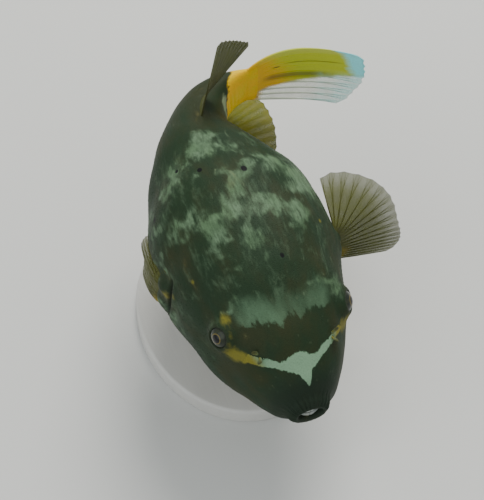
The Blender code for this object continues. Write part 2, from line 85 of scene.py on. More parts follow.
# Where the spine turns: share of the length, and degrees towards the fish's left
BEND = ((0.0, 0.0), (0.45, 0.0), (0.62, -4.0), (0.78, 18.0), (0.90, 60.0), (1.0, 92.0))
SPINE_STEPS = 600
# Swellings of the skin: share of the length, degrees round from the back, reach and height.
# All but those on the midline are on both sides.
SWELLINGS = (
    (0.203, 59.0, 0.060, 0.012),  # round the eye
    (0.225, 104.0, 0.085, 0.009),  # cheek
    (0.185, 0.0, 0.050, -0.005),  # hollow between the eyes
    (0.050, 180.0, 0.040, 0.004),  # chin
    (0.402, 84.0, 0.026, 0.010),  # shoulder of the pectoral fin, its upper half
    (0.408, 100.0, 0.026, 0.010),  # and its lower half
)

# Mouth, as shares of the body's length
MOUTH_HALF_WIDTH = 0.029
MOUTH_HALF_HEIGHT = 0.0165
MOUTH_DEPTH = 0.045
# From its bottom to the lips' crest: how deep, and how far out from the opening
MOUTH_WALL = (
    (0.0, MOUTH_DEPTH, 0.0), (0.35, 0.014, 0.0), (0.65, 0.004, 0.15), (0.85, 0.0006, 0.55),
    (1.0, 0.0, 1.0),
)
MOUTH_RINGS = 18
MOUTH_FOLD = 0.03  # how far the lips' wrinkles reach in, as a share of its size
# The fields of the markings inside it, where they aren't 0
MOUTH_FIELDS = {"dot": 0.01, "band": -0.01, "orange": -0.1, "past": -0.02, "muzzle": 1.0}
LIP_SHARE = 0.034  # the wrinkled lips end here
LIP_FOLDS = 27
LIP_FOLD_DEPTH = 0.00022
SLOPE_STEP = 0.002  # step in share and angle by which the skin's slopes are measured

# Eyes
EYE_SHARE = 0.203
EYE_ANGLE = 61.0
EYE_RADIUS = 0.0079
EYE_SUNK = 0.0046
# Lid: distance from the eye's axis and height over the skin there, in millimetres
LID_PROFILE = (
    (0, -1.0), (4.5, -1.0), (4.95, 1.45), (5.5, 1.95), (6.2, 1.78), (7.2, 0.95), (8.5, 0.15),
    (9.6, -0.45), (11.5, -0.7), (16, -1.2),
)
LID_HOLD = (0.0068, 0.0115)  # the lid gives way to the plain skin between these distances
LID_RIM = (0.0054, 0.0010)  # where its rim is, and how broad
LID_DEPTH = 0.012  # skin farther than this below the eye stays as it is
CORNEA = (0.0004, 0.42)  # its height over the ball, and its reach as an angle
# Rings of the ball's mesh as angles from its axis: first, last and how many, finer in front
EYE_RINGS = ((0.02, 1.1, 34), (1.2, math.pi - 0.04, 16))
EYE_SIDES = 72

# Gill slits, bowed forward, in front of the pectoral fins
GILL_SHARE = 0.370
GILL_ANGLES = (70.0, 108.0)
GILL_BOW = 0.012
GILL_DEPTH = 0.0019
GILL_HALF_WIDTH = 0.0010
GILL_FOLD = (0.0007, -0.0030, 0.0020)  # the fold in front of each slit: height, place and reach
STALK_FOLDS = (0.00042, 0.0037)  # wrinkles inside the bend of the stalk: height and spacing
FIN_RIDGE = (0.0013, 0.0021, 0.003)  # fleshy ridge under a fin: height, half width, reach past it
# Where the rows and columns of the skin's mesh are closer together: centre, reach and how much
CLOSER_ROWS = ((0.0, 0.035, 2.6), (EYE_SHARE, 0.040, 2.0), (GILL_SHARE, 0.02, 0.9))
CLOSER_COLUMNS = ((EYE_ANGLE, 14.0, 1.5), (-EYE_ANGLE, 14.0, 1.5))
PRICKLES_MOST = 400000.0  # to a square metre

# Nostrils, each with two flaps
NOSTRIL_SHARE = 0.122
NOSTRIL_ANGLE = 42.0
NOSTRIL_HEIGHT = 0.0042
NOSTRIL_RADIUS = 0.0010
NOSTRIL_SPREAD = math.radians(30)
# Width and thickness of each flap along its length, against the radius of its root
FLAP_WIDTH = ((0, 1.25), (0.4, 0.95), (0.72, 1.5), (0.92, 1.1), (1, 0.12))
FLAP_THICKNESS = ((0, 1.1), (0.4, 0.7), (0.72, 0.5), (0.92, 0.36), (1, 0.08))
FLAP_CURL = 0.0007
FLAP_ROOT = 0.002  # how deep it starts
FLAP_RINGS = 18
FLAP_SIDES = 14

# Beak
BEAK_FRONT = 0.0012
BEAK_THICKNESS = 0.0022
BEAK_BOW = 0.0024
BEAK_PARTING = 0.0004
BEAK_GROOVE = (0.0003, 0.05)  # depth, and half width as a share of the plate's
BEAK_NICKS = 0.00008  # of the cutting edge
BEAK_COLUMNS = 71
BEAK_SIDES = 20
BEAK_SIDE = 0.93  # how far its plates reach to each side, as a share of the mouth's half width
BEAK_ROUNDNESS = 0.6  # exponent of its plates' sections

# Fins. Ways are parts to the fish's left, backwards and up, for the first, middle and last ray.
ROOT_SUNK = 0.003
CORNER = 0.07  # how much shorter the outermost rays are
FORKS = (0.50, 0.76)  # where along them the rays fork
FORK_SPREAD = (0.21, 0.10)  # how far to each side the branches end, in spaces between rays
RAY_KNOTS = 26
RAY_STEPS = 64
SHEET_COLUMNS = 12  # of a membrane's mesh, between two rays
SHEET_ROWS = 64
SHEET_CLOSER = 1.1  # how much closer together its rows are at the root
SHEET_WEAR = 0.010  # of its margin, as a share of the rays
SHEET_SAG = 0.0001  # between the rays, at the margin
RAY_END = 0.975  # where the rays end, inside the membrane's margin
RAY_OVERLAP = 0.02  # of a branch into the ray that it leaves
DORSAL = {
    "shares": (0.752, 0.828),
    "rays": 10,
    "length": 0.0405,
    "outline": (1.03, 1.00, 0.97),
    "ways": ((0.16, 0.48, 0.86), (0.40, 0.54, 0.74), (0.64, 0.50, 0.65)),
}
ANAL = {
    "shares": (0.778, 0.850),
    "rays": 10,
    "length": 0.051,
    "outline": (0.92, 1.00, 0.90),
    "ways": ((0.88, 0.42, -0.20), (0.70, 0.70, -0.16), (0.44, 0.88, -0.12)),
}
PECTORAL_SHARES = (0.398, 0.412)
PECTORAL_ANGLES = (73.0, 108.0)
PECTORAL_RAYS = 17
PECTORAL_LENGTH = 0.038
PECTORAL_OUTLINE = (0.84, 1.00, 0.94)
PECTORAL_RIPPLE = 0.0012
# These point outwards from the fish's own side, backwards and up
PECTORAL_LEFT_WAYS = ((0.10, 0.97, 0.12), (1.36, -0.05, 0.05), (0.95, -0.10, -0.14))
PECTORAL_RIGHT_WAYS = ((0.08, 0.96, -0.22), (0.10, 0.90, -0.42), (0.10, 0.70, -0.68))
ROOT_DIP = (0.0042, 0.24)  # how far the pectoral fins dip into the skin, and up to where
PECTORAL_RIGHT_BOW = 0.006  # of the tips of its rays, towards the flank
TAIL_RAYS = 10
TAIL_LENGTH = 0.062
TAIL_TURN = math.radians(32)
TAIL_LEAN = math.radians(4)
TAIL_ROOT = (0.0158, -0.0092)
TAIL_TIP = (0.0315, -0.0145)
TAIL_RISE = 4  # how fast the rays reach those heights
TAIL_OUTLINE = (0.95, 1.00, 0.86)
TAIL_OVERLAP = 0.11  # of the fleshy end of the stalk over the fin, as a share of the fin's rays
# Its half width against that at the fin's root: there, how fast it falls and how that slackens
TAIL_CAP = (1.0, -1.05, 0.22)
TAIL_CAP_RINGS = 14
TAIL_CAP_EDGE = (0.10, 0.02)  # how far it draws back at its margins, and its half height there

# Membranes: half the thickness at the root and the margin, height and reach of the swell at the
# root, and how deep the margin is scalloped; and the rays' radii at the root, middle and tip
PECTORAL_SHEET = {"thickness": (0.00022, 0.00010), "swell": (0.0007, 0.10), "scallop": 0.014}
PECTORAL_RADII = (0.00046, 0.00027, 0.00010)
MIDLINE_SHEET = {"thickness": (0.00026, 0.00012), "swell": (0.0008, 0.10), "scallop": 0.014}
MIDLINE_RADII = (0.00046, 0.00027, 0.00011)
TAIL_SHEET = {"thickness": (0.00042, 0.00018), "swell": (0.0013, 0.09), "scallop": 0.012}
TAIL_RADII = (0.00085, 0.00050, 0.00020)
TAIL_START = -0.02  # where the tail fin starts along its rays, inside the stalk

# Stand
BASE_LENGTH = 0.128
BASE_WIDTH = 0.100
BASE_THICKNESS = 0.010
BASE_BEVEL = 0.002
BASE_CHAMFER = 0.0008
BASE_SIDES = 160
ROD_RADIUS = 0.003
ROD_SHARES = (0.38, 0.66)
COLLAR_RADIUS = 0.0075
COLLAR_HEIGHT = 0.0022
COLLAR_EDGE = 0.0009
COLLAR_CHAMFER = 0.0003
ROD_FILLET = 0.0008
ROD_SIDES = 40
ROD_IN_BELLY = 0.0025

# Camera and lights
CAMERA_ELEVATION = math.radians(54.5)
CAMERA_TURN = math.radians(20.0)
CAMERA_DISTANCE = 1.05
CAMERA_ANCHOR = 0.10 / BODY_LENGTH  # the share of the body that the distance is measured to
CAMERA_FOCUS = 2090.0  # focal length in pixels of the photo
CAMERA_CENTRE = (240.0, 247.0)  # its axis in the photo, in pixels
PHOTO_SIZE = (484, 500)
SENSOR = 36.0  # its height in millimetres
# Lights: place, width and colour
KEY_LIGHT = ((0.55, 0.75, 1.35), 0.9, (1.0, 0.98, 0.94))
FILL_LIGHT = ((-1.2, -0.6, 0.9), 1.6, (0.92, 0.97, 1.0))
SKY = (0.86, 0.90, 0.90, 1)

# Markings of the skin, each by share of the length and degrees round from the back, left positive.
# Pale mottles of the back: place, half length and half width in millimetres, and weight
MOTTLES = (
    (0.355, -30, 4.0, 3.5, 0.55), (0.365, -3, 8.0, 3.6, 0.95), (0.385, -25, 5.4, 4.0, 0.85),
    (0.378, 27, 5.0, 4.0, 0.75), (0.380, 15, 4.5, 3.0, 0.65), (0.420, -23, 4.6, 5.2, 0.95),
    (0.425, 7, 5.8, 6.6, 1.15), (0.445, -8, 5.6, 5.2, 0.95), (0.415, 24, 3.6, 4.2, 0.85),
    (0.465, -43, 4.8, 7.2, 1.05), (0.495, 41, 5.4, 8.0, 0.85), (0.500, 50, 11.0, 8.5, 0.85),
    (0.515, -67, 3.6, 6.2, 0.65), (0.552, 27, 5.4, 5.6, 1.20), (0.520, -2, 7.0, 4.2, 1.05),
    (0.535, 7, 3.6, 3.0, 0.75), (0.607, -42, 8.6, 6.4, 1.15), (0.630, 6, 6.6, 3.2, 0.65),
    (0.652, -10, 7.4, 6.2, 1.35), (0.672, -2, 4.0, 3.2, 0.85), (0.300, -20, 2.6, 3.0, 0.40),
    (0.228, 34, 2.8, 4.2, 0.85), (0.230, 46, 3.3, 3.0, 0.85), (0.235, -37, 2.4, 3.4, 0.75),
    (0.585, 52, 5.0, 4.0, 0.55), (0.560, -20, 4.0, 3.5, 0.45),
)
# More of them on the flanks, which the photo hides: how many, and the limits of each value
FLANK_MOTTLES = 34
FLANK_LIMITS = ((0.34, 0.70), (66, 112), (3, 7), (2.5, 5), (0.4, 0.8))
UNEVEN_WAVES = (0.009, 0.040)  # the skin's soft waves, shortest and longest
UNEVEN_MEAN = 0.025  # about their mean
UNEVEN_COUNT = 26
MOTTLE_STRAY = 0.0019  # how far their outlines stray, in metres
MOTTLE_WAVES = 2.6  # how much shorter those waves are than the skin's own
# Black dots
DOTS = (
    (0.620, -36), (0.578, -18), (0.550, -67), (0.296, 6), (0.460, 55), (0.535, 5), (0.440, -100),
    (0.500, -118), (0.585, -98), (0.660, -84), (0.400, -128), (0.700, -112), (0.470, 98),
    (0.540, 122), (0.600, 84), (0.645, 104), (0.700, 90), (0.500, 142), (0.330, 120),
    (0.300, -114), (0.250, 132), (0.760, -60), (0.735, 66), (0.420, 150),
)
DOT_RADIUS = 0.00135
DOT_SIZES = (0.8, 1.2)  # against that radius
DOT_SHAPE = (1, 0.75, 1)  # drawn out along the body
# Yellow and orange blots: place, half length and half width in millimetres, and weight. The right
# eye's blots at 0.138 to 0.166 and at 0.222 weigh a little less, as painted shade of that side
YELLOWS = (
    (0.166, -65, 4.6, 4.6, 0.85), (0.150, -60, 3.4, 4.0, 0.75), (0.138, -56, 3.0, 2.8, 0.8),
    (0.184, -57, 2.6, 1.7, 1.2), (0.196, -52, 3.2, 1.5, 1.3), (0.222, -48.5, 4.6, 3.2, 0.85),
    (0.166, 66, 4.0, 5.0, 0.9), (0.148, 60, 3.4, 3.6, 0.7), (0.382, 86, 3.0, 4.0, 0.9),
    (0.382, -86, 3.0, 4.0, 0.8), (0.380, 44, 1.3, 1.3, 0.9), (0.334, -55, 1.4, 1.2, 0.9),
    (0.538, -94, 2.2, 3.0, 0.7), (0.434, -79, 2.0, 2.6, 0.6), (0.360, -80, 2.2, 2.6, 0.6),
)
# The white band over the snout: degrees round, and the share of its edge
BAND_SIDE = 62  # degrees round at which it ends
BAND_REAR = (
    (-62, 0.134), (-50, 0.138), (-42, 0.118), (-29, 0.100), (-24, 0.091), (-16, 0.090),
    (-8, 0.096), (0, 0.099), (4, 0.096), (9, 0.088), (19, 0.090), (26, 0.102), (38, 0.118),
    (50, 0.142), (62, 0.152),
)
BAND_FRONT = (
    (-62, 0.134), (-56, 0.126), (-48, 0.106), (-31, 0.082), (-18, 0.068), (-7, 0.056),
    (-2, 0.044), (1, 0.034), (6, 0.044), (9, 0.060), (21, 0.076), (31, 0.090), (45, 0.112),
    (62, 0.152),
)
# The pale patch between the eyes: its front edge, and its weight round the head
PATCH_FRONT = (
    (-60, 0.200), (-40, 0.188), (-34, 0.175), (-29, 0.178), (-16, 0.166), (-9, 0.151),
    (-4, 0.160), (0, 0.171), (4, 0.168), (8, 0.154), (12, 0.166), (18, 0.172), (32, 0.173),
    (40, 0.190), (60, 0.200),
)
PATCH_WEIGHT = (
    (-60, 0), (-44, 0), (-38, 0.75), (-30, 0.95), (-10, 1), (-4, 0.75), (0, 0.40), (6, 0.62),
    (10, 0.50), (14, 0.42), (20, 0.75), (33, 0.80), (41, 0), (60, 0),
)
# Where the orange of the tail starts
ORANGE_START = (
    (-180, 0.930), (-90, 0.955), (-20, 0.958), (0, 0.950), (18, 0.930), (60, 0.908), (100, 0.888),
    (140, 0.900), (180, 0.930),
)


# Sockets and node trees


class Socket:
    """An output of a node, on which Python's operators add Math nodes."""

    def __init__(self, graph, socket):
        self.graph = graph
        self.socket = socket

    def maths(self, operation, *values):
        return self.graph.node("ShaderNodeMath", {"operation": operation}, dict(enumerate(values)))

    def __add__(self, other):
        return self.maths("ADD", self, other)

    def __radd__(self, other):
        return self.maths("ADD", other, self)

    def __sub__(self, other):
        return self.maths("SUBTRACT", self, other)

    def __rsub__(self, other):
        return self.maths("SUBTRACT", other, self)

    def __mul__(self, other):
        return self.maths("MULTIPLY", self, other)

    def __rmul__(self, other):
        return self.maths("MULTIPLY", other, self)

    def bigger(self, other):
        return self.maths("MAXIMUM", self, other)

    def smaller(self, other):
        return self.maths("MINIMUM", self, other)

    def size(self):
        return self.maths("ABSOLUTE", self)

    def step(self, low, high):
        """0 below low, 1 above high and smooth between; low may be the higher of the two."""
        low, high, first, last = (low, high, 0.0, 1.0) if low < high else (high, low, 1.0, 0.0)
        values = {0: self, 1: low, 2: high, 3: first, 4: last}
        return self.graph.node("ShaderNodeMapRange", {"interpolation_type": "SMOOTHSTEP"}, values)


class Graph:
    """A node tree of either kind."""

    def __init__(self, tree):
        self.tree = tree

    def node(self, kind, settings=None, values=None, output=0):
        """A node: its settings first, then the values or links of its sockets."""
        made = self.tree.nodes.new(kind)
        for key, value in (settings or {}).items():
            setattr(made, key, value)
        for key, value in (values or {}).items():
            if isinstance(value, Socket):
                self.tree.links.new(value.socket, made.inputs[key])
            else:
                made.inputs[key].default_value = value
        return Socket(self, made.outputs[output])


class Look(Graph):
    """A material with one Principled shader."""

    def __init__(self, name, **constants):
        self.material = bpy.data.materials.new(name)
        self.material.use_nodes = True
        super().__init__(self.material.node_tree)
        self.shader = self.tree.nodes["Principled BSDF"]
        for key, value in constants.items():
            self.shader.inputs[key.replace("_", " ")].default_value = value

    def feed(self, **links):
        """Links these to the shader's sockets and gives the material."""
        for key, value in links.items():
            self.tree.links.new(value.socket, self.shader.inputs[key.replace("_", " ")])
        return self.material

    def field(self, name, output=2):
        """A number stored on the mesh, or with output 1 a vector."""
        return self.node("ShaderNodeAttribute", {"attribute_name": name}, output=output)

    def place(self):
        """The place on the piece, in its own metres."""
        return self.node("ShaderNodeTexCoord", output=3)

    def stretch(self, vector, scale):
        return self.node("ShaderNodeMapping", None, {"Vector": vector, "Scale": scale})

    def noise(self, vector, scale, detail=2.0, roughness=0.5, distortion=0.0):
        values = {"Vector": vector, "Scale": scale, "Detail": detail, "Roughness": roughness}
        return self.node("ShaderNodeTexNoise", None, {**values, "Distortion": distortion})

    def cells(self, vector, scale):
        return self.node("ShaderNodeTexVoronoi", None, {"Vector": vector, "Scale": scale})

    def blend(self, amount, first, second):
        """From the first colour to the second."""
        first, second = (c if isinstance(c, Socket) else (*c[:3], 1.0) for c in (first, second))
        values = {0: amount, 6: first, 7: second}
        return self.node("ShaderNodeMix", {"data_type": "RGBA"}, values, output=2)

    def tint(self, colour, strength):
        """A colour made lighter or darker by a number round 1."""
        values = {0: colour, "Scale": strength}
        return self.node("ShaderNodeVectorMath", {"operation": "SCALE"}, values)

    def bump(self, height, distance, strength=1.0):
        values = {"Height": height, "Distance": distance, "Strength": strength}
        return self.node("ShaderNodeBump", None, values)


class Shape(Graph):
    """A tree of geometry nodes with named inputs: label, kind of socket and default."""

    def __init__(self, name, inputs):
        super().__init__(bpy.data.node_groups.new(name, "GeometryNodeTree"))
        face = self.tree.interface
        face.new_socket("Geometry", in_out="INPUT", socket_type="NodeSocketGeometry")
        self.names = {}
        for label, kind, default in inputs:
            socket = face.new_socket(label, in_out="INPUT", socket_type=kind)
            if default is not None:
                socket.default_value = default
            self.names[label] = socket.identifier
        face.new_socket("Geometry", in_out="OUTPUT", socket_type="NodeSocketGeometry")
        given = self.tree.nodes.new("NodeGroupInput")
        self.given = {socket.name: Socket(self, socket) for socket in given.outputs if socket.name}

    def named(self, name, kind="FLOAT"):
        return self.node("GeometryNodeInputNamedAttribute", {"data_type": kind}, {"Name": name})

    def finish(self, geometry):
        """Ends the tree with real geometry in the given material."""
        real = self.node("GeometryNodeRealizeInstances", None, {"Geometry": geometry})
        values = {"Geometry": real, "Material": self.given["Material"]}
        done = self.node("GeometryNodeSetMaterial", None, values)
        self.tree.links.new(done.socket, self.tree.nodes.new("NodeGroupOutput").inputs[0])

    def build(self, name, source, values):
        """A plain mesh object: the tree run on the source mesh with these values."""
        holder = add_object(name, source)
        modifier = holder.modifiers.new("Shape", "NODES")
        modifier.node_group = self.tree
        for label, value in values.items():
            modifier[self.names[label]] = value
        graph = bpy.context.evaluated_depsgraph_get()
        result = bpy.data.meshes.new_from_object(holder.evaluated_get(graph))
        holder.modifiers.remove(modifier)
        holder.data = result
        bpy.data.meshes.remove(source)
        if not result.polygons:
            raise RuntimeError(f"{name} came out empty")
        return holder


# Curves and places


def smooth(points, at):
    """A smooth curve through points, each (where, value), that never overshoots them."""
    where = np.array([point[0] for point in points], float)
    value = np.array([point[1] for point in points], float)
    step = np.diff(where)
    slope = np.diff(value) / step
    tangent = np.zeros_like(value)
    tangent[0], tangent[-1] = slope[0], slope[-1]
    for i in range(1, len(where) - 1):
        if slope[i - 1] * slope[i] > 0:
            before = 2 * step[i] + step[i - 1]
            after = step[i] + 2 * step[i - 1]
            tangent[i] = (before + after) / (before / slope[i - 1] + after / slope[i])
    at = np.clip(np.asarray(at, float), where[0], where[-1])
    i = np.clip(np.searchsorted(where, at) - 1, 0, len(where) - 2)
    t = (at - where[i]) / step[i]
    return (
        (1 + 2 * t) * (1 - t) ** 2 * value[i]
        + t * (1 - t) ** 2 * step[i] * tangent[i]
        + t * t * (3 - 2 * t) * value[i + 1]
        + t * t * (t - 1) * step[i] * tangent[i + 1]
    )


def rise(at, low, high):
    """0 below low, 1 above high, smooth between."""
    t = np.clip((np.asarray(at, float) - low) / (high - low), 0, 1)
    return t * t * (3 - 2 * t)


def bell(at, centre, reach):
    """1 at the centre, falling off smoothly to both sides."""
    return np.exp(-(((np.asarray(at, float) - centre) / reach) ** 2))


def rounded(value, power):
    """A sine or cosine made squarer or sharper, with its sign kept."""
    return np.sign(value) * np.abs(value) ** power


def spread(count, low, high, peaks):
    """Places from low to high, closer together round peaks: centre, reach and how much closer."""
    fine = np.linspace(low, high, 4001)
    density = 1 + sum(gain * bell(fine, centre, reach) for centre, reach, gain in peaks)
    total = np.concatenate([[0], np.cumsum((density[1:] + density[:-1]) / 2)])
    return np.interp(np.linspace(0, total[-1], count), total, fine)


def spine_table():
    """The spine from above: shares, x, y and heading, with the pivot at x, y = 0."""
    share = np.linspace(0, 1, SPINE_STEPS + 1)
    heading = np.radians(smooth(BEND, share))
    middle = (heading[1:] + heading[:-1]) / 2
    step = BODY_LENGTH / SPINE_STEPS
    x = np.concatenate([[0], np.cumsum(np.sin(middle) * step)])
    y = np.concatenate([[0], np.cumsum(np.cos(middle) * step)])
    x -= np.interp(PIVOT_SHARE, share, x)
    y -= np.interp(PIVOT_SHARE, share, y)
    return share, x, y, heading


SPINE = spine_table()
TILT = np.array(Matrix.Rotation(PITCH, 3, "X") @ Matrix.Rotation(ROLL, 3, "Y"))
LIFT = np.array((0, 0, AXIS_HEIGHT))


def placed(share, side, up):
    """World points from the share of the length and the metres left of and above the spine."""
    shares, x, y, heading = SPINE
    share = np.asarray(share, float)
    turn = np.interp(share, shares, heading)
    beyond = (share - np.clip(share, 0, 1)) * BODY_LENGTH
    px = np.interp(share, shares, x) + beyond * np.sin(turn) + np.cos(turn) * side
    py = np.interp(share, shares, y) + beyond * np.cos(turn) - np.sin(turn) * side
    return np.stack([px, py, up + 0 * px], -1) @ TILT.T + LIFT


def axes_at(share):
    """The world directions to the left, backwards and up at a place along the body."""
    turn = np.interp(share, SPINE[0], SPINE[3])
    left = TILT @ np.array([math.cos(turn), -math.sin(turn), 0.0])
    back = TILT @ np.array([math.sin(turn), math.cos(turn), 0.0])
    return left, back, TILT @ np.array([0.0, 0.0, 1.0])


def plain_section(share, angle):
    """The straight body without swellings: left, back and up, in metres. Angle 0 is the back."""
    profiles = ([(station[0], station[k]) for station in STATIONS] for k in (1, 2, 3))
    width, top, bottom = (smooth(profile, share) * BODY_LENGTH for profile in profiles)
    power = 2 / ROUNDNESS
    side = width * rounded(np.sin(angle), power)
    up = np.where(np.cos(angle) > 0, top, bottom) * rounded(np.cos(angle), power)
    return np.stack([side, np.asarray(share, float) * BODY_LENGTH + 0 * side, up], -1)


def straight_skin(share, angle, grow=0.0):
    """The straight body's skin with swellings, pushed out by grow, and its outward direction."""
    share, angle = np.broadcast_arrays(np.asarray(share, float), np.asarray(angle, float))
    point = plain_section(share, angle)
    along = plain_section(np.minimum(share + SLOPE_STEP, 1), angle)
    along = along - plain_section(np.maximum(share - SLOPE_STEP, 0), angle)
    around = plain_section(share, angle + SLOPE_STEP) - plain_section(share, angle - SLOPE_STEP)
    normal = np.cross(around, along)
    normal /= np.linalg.norm(normal, axis=-1, keepdims=True)
    lift = np.zeros(share.shape) + grow
    for centre_share, degrees, reach, height in SWELLINGS:
        for sign in (1, -1) if 0 < degrees < 180 else (1,):
            centre = plain_section(np.array(centre_share), np.array(math.radians(degrees) * sign))
            distance = np.linalg.norm(point - centre, axis=-1) / (reach * BODY_LENGTH)
            lift = lift + height * BODY_LENGTH * np.exp(-distance * distance)
    return point + normal * lift[..., None], normal


def bent(point):
    """World points from points of the straight body."""
    return placed(point[..., 1] / BODY_LENGTH, point[..., 0], point[..., 2])


def skin(share, angle, grow=0.0):
    """World points of the skin, pushed out by grow."""
    return bent(straight_skin(share, angle, grow)[0])


def stance(share, angle):
    """A world point of the skin and the direction out from it."""
    point = skin(share, angle)
    return point, unit(skin(share, angle, 0.001) - point)


def mixed(values, u):
    """A smooth blend of three values, the first at u = 0 and the last at u = 1."""
    first, middle, last = (np.asarray(value, float) for value in values)
    u = np.asarray(u, float)[..., None]
    return first * (1 - u) ** 2 + middle * 2 * u * (1 - u) + last * u * u


def unit(vector):
    """Vectors of length 1 in the same directions."""
    return vector / np.linalg.norm(vector, axis=-1, keepdims=True)


# Meshes


def add_object(name, mesh):
    made = bpy.data.objects.new(name, mesh)
    bpy.context.scene.collection.objects.link(made)
    return made


def quads(rows, columns, first=0, closed=False):
    """The faces of a grid of points, row by row; closed joins its last column to its first."""
    across = columns if closed else columns - 1
    i, j = np.meshgrid(np.arange(rows - 1), np.arange(across), indexing="ij")
    k = (j + 1) % columns
    here, there = i * columns, (i + 1) * columns
    faces = np.stack([here + j, there + j, there + k, here + k], -1)
    return faces.reshape(-1, 4) + first


def outward(points, faces):
    """The faces, all turned round if they enclose a negative volume."""
    total = 0.0
    for size in {len(face) for face in faces}:
        group = np.array([face for face in faces if len(face) == size])
        for k in range(1, size - 1):
            a, b, c = points[group[:, 0]], points[group[:, k]], points[group[:, k + 1]]
            total += np.einsum("ij,ij->", a, np.cross(b, c))
    return faces if total > 0 else [face[::-1] for face in faces]


def closed_mesh(name, points, faces, look, fields=None, sharp=None):
    """A closed mesh with its numbers and vectors stored on its points."""
    points = np.asarray(points, float).reshape(-1, 3)
    mesh = bpy.data.meshes.new(name)
    mesh.from_pydata(points.tolist(), [], outward(points, faces))
    for key, values in (fields or {}).items():
        values = np.asarray(values, np.float32)
        kind, socket = ("FLOAT_VECTOR", "vector") if values.ndim > 1 else ("FLOAT", "value")
        mesh.attributes.new(key, kind, "POINT").data.foreach_set(socket, values.ravel())
    mesh.materials.append(look)
    mesh.shade_smooth()
    if sharp:
        mesh.set_sharp_from_angle(angle=math.radians(sharp))
    if mesh.validate():
        raise RuntimeError(f"{name} had faulty faces")
    return mesh


def lathe(rings):
    """Points and faces of closed rings joined into one body, with a fan at each end."""
    rings = np.asarray(rings, float)
    rows, columns = rings.shape[:2]
    points = np.concatenate([rings.reshape(-1, 3), rings[:1].mean(1), rings[-1:].mean(1)])
    faces = quads(rows, columns, closed=True).tolist()
    start, end, last = rows * columns, rows * columns + 1, (rows - 1) * columns
    for j in range(columns):
        k = (j + 1) % columns
        faces.append([start, j, k])
        faces.append([end, last + k, last + j])
    return points, faces


def several(parts):
    """Points and faces of some bodies as one."""
    points, faces, count = [], [], 0
    for some_points, some_faces in parts:
        points.append(some_points)
        faces += [[vertex + count for vertex in face] for face in some_faces]
        count += len(some_points)
    return np.concatenate(points), faces


def piece(mesh, slot, *nodes):
    """A mesh or an object, made to ride on the body, with the nodes it stands for hidden; its slot
    is not used.
    """
    made = mesh if isinstance(mesh, bpy.types.Object) else add_object(mesh.name, mesh)
    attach(made, BODY)
    if nodes:
        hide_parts(*nodes)
    return made


# Skin


def blots(point, places):
    """The sum of soft oval blots at places on the skin."""
    total = np.zeros(point.shape[:-1])
    for at, degrees, length, width, weight in places:
        centre = straight_skin(at, math.radians(degrees))[0]
        away = (point - centre) * 1000
        along = (away[..., 1] / length) ** 2
        across = (away[..., 0] ** 2 + away[..., 2] ** 2) / width**2
        total += weight * np.exp(-along - across)
    return total


def flank_mottles():
    """Mottles scattered over the flanks, left and right in turn."""
    draw = np.random.default_rng(7)
    places = []
    for i in range(FLANK_MOTTLES):
        at, degrees, *rest = (draw.uniform(*limits) for limits in FLANK_LIMITS)
        places.append((at, degrees if i % 2 else -degrees, *rest))
    return places


def unevenness(point, height, seed):
    """A soft unevenness: waves of all those lengths in all directions."""
    draw = np.random.default_rng(seed)
    total = np.zeros(point.shape[:-1])
    for _ in range(UNEVEN_COUNT):
        way = unit(draw.normal(size=3))
        length = draw.uniform(*UNEVEN_WAVES)
        shift = draw.uniform(0, 2 * math.pi)
        total += length * np.sin(2 * math.pi * (point @ way) / length + shift)
    return total / UNEVEN_MEAN * height / math.sqrt(UNEVEN_COUNT / 2)


def seat_eyes(point):
    """Sinks the skin under each eye and raises its lid. Gives points and nearness to the rim."""
    rim = np.zeros(point.shape[:-1])
    for sign in (1, -1):
        angle = math.radians(EYE_ANGLE) * sign
        centre = straight_skin(EYE_SHARE, angle)[0]
        axis = unit(straight_skin(EYE_SHARE, angle, 0.001)[0] - centre)
        away = point - centre
        height = away @ axis
        flat = away - height[..., None] * axis
        reach = np.linalg.norm(flat, axis=-1)
        lid = smooth(LID_PROFILE, reach * 1000) / 1000
        near = np.abs(height) < LID_DEPTH
        hold = (1 - rise(reach, *LID_HOLD)) * near
        point = point + ((lid - height) * hold)[..., None] * axis
        rim = np.maximum(rim, bell(reach, *LID_RIM) * near)
    return point, rim


def fin_ridge(share, point, sizes, sign):
    """A low fleshy ridge under a fin on the midline, on the back or with sign -1 on the belly."""
    first, last = sizes["shares"]
    height, width, reach = FIN_RIDGE
    past = np.maximum(np.maximum(first - share, share - last), 0) * BODY_LENGTH
    away = (point[..., 0] / width) ** 2 + (past / reach) ** 2
    return height * np.exp(-away) * (point[..., 2] * sign > 0)


def lip_fold(angle):
    """The wrinkles round the lips, uneven in width."""
    return np.sin(LIP_FOLDS * angle + 1.3 * np.sin(3 * angle))


def fine_forms(settings, share, degrees, point, open_slit, from_slit):
    """How far the skin is pushed out: unevenness, lips, slits, wrinkles and ridges."""
    angle = np.radians(degrees)
    uneven = rise(share, 0.01, 0.06) * (1 - rise(share, 0.94, 0.995))
    lift = unevenness(point, settings.unevenness, 3) * uneven
    folds = lip_fold(angle) + 0.5 * np.sin(LIP_FOLDS * 1.9 * angle + 2 * np.sin(5 * angle))
    lips = LIP_FOLD_DEPTH * folds * (1 - rise(share, 0.010, LIP_SHARE))
    lift += lips * rise(share, -0.002, 0.004)
    lift -= GILL_DEPTH * open_slit * bell(from_slit, 0, GILL_HALF_WIDTH)
    lift += GILL_FOLD[0] * open_slit * bell(from_slit, *GILL_FOLD[1:])
    inner = bell(degrees, 92, 34) * bell(share, 0.885, 0.050)
    waves = 2 * math.pi * share * BODY_LENGTH / STALK_FOLDS[1]
    lift += STALK_FOLDS[0] * inner * np.sin(waves + 0.5 * np.sin(angle * 3))
    return lift + fin_ridge(share, point, DORSAL, 1) + fin_ridge(share, point, ANAL, -1)


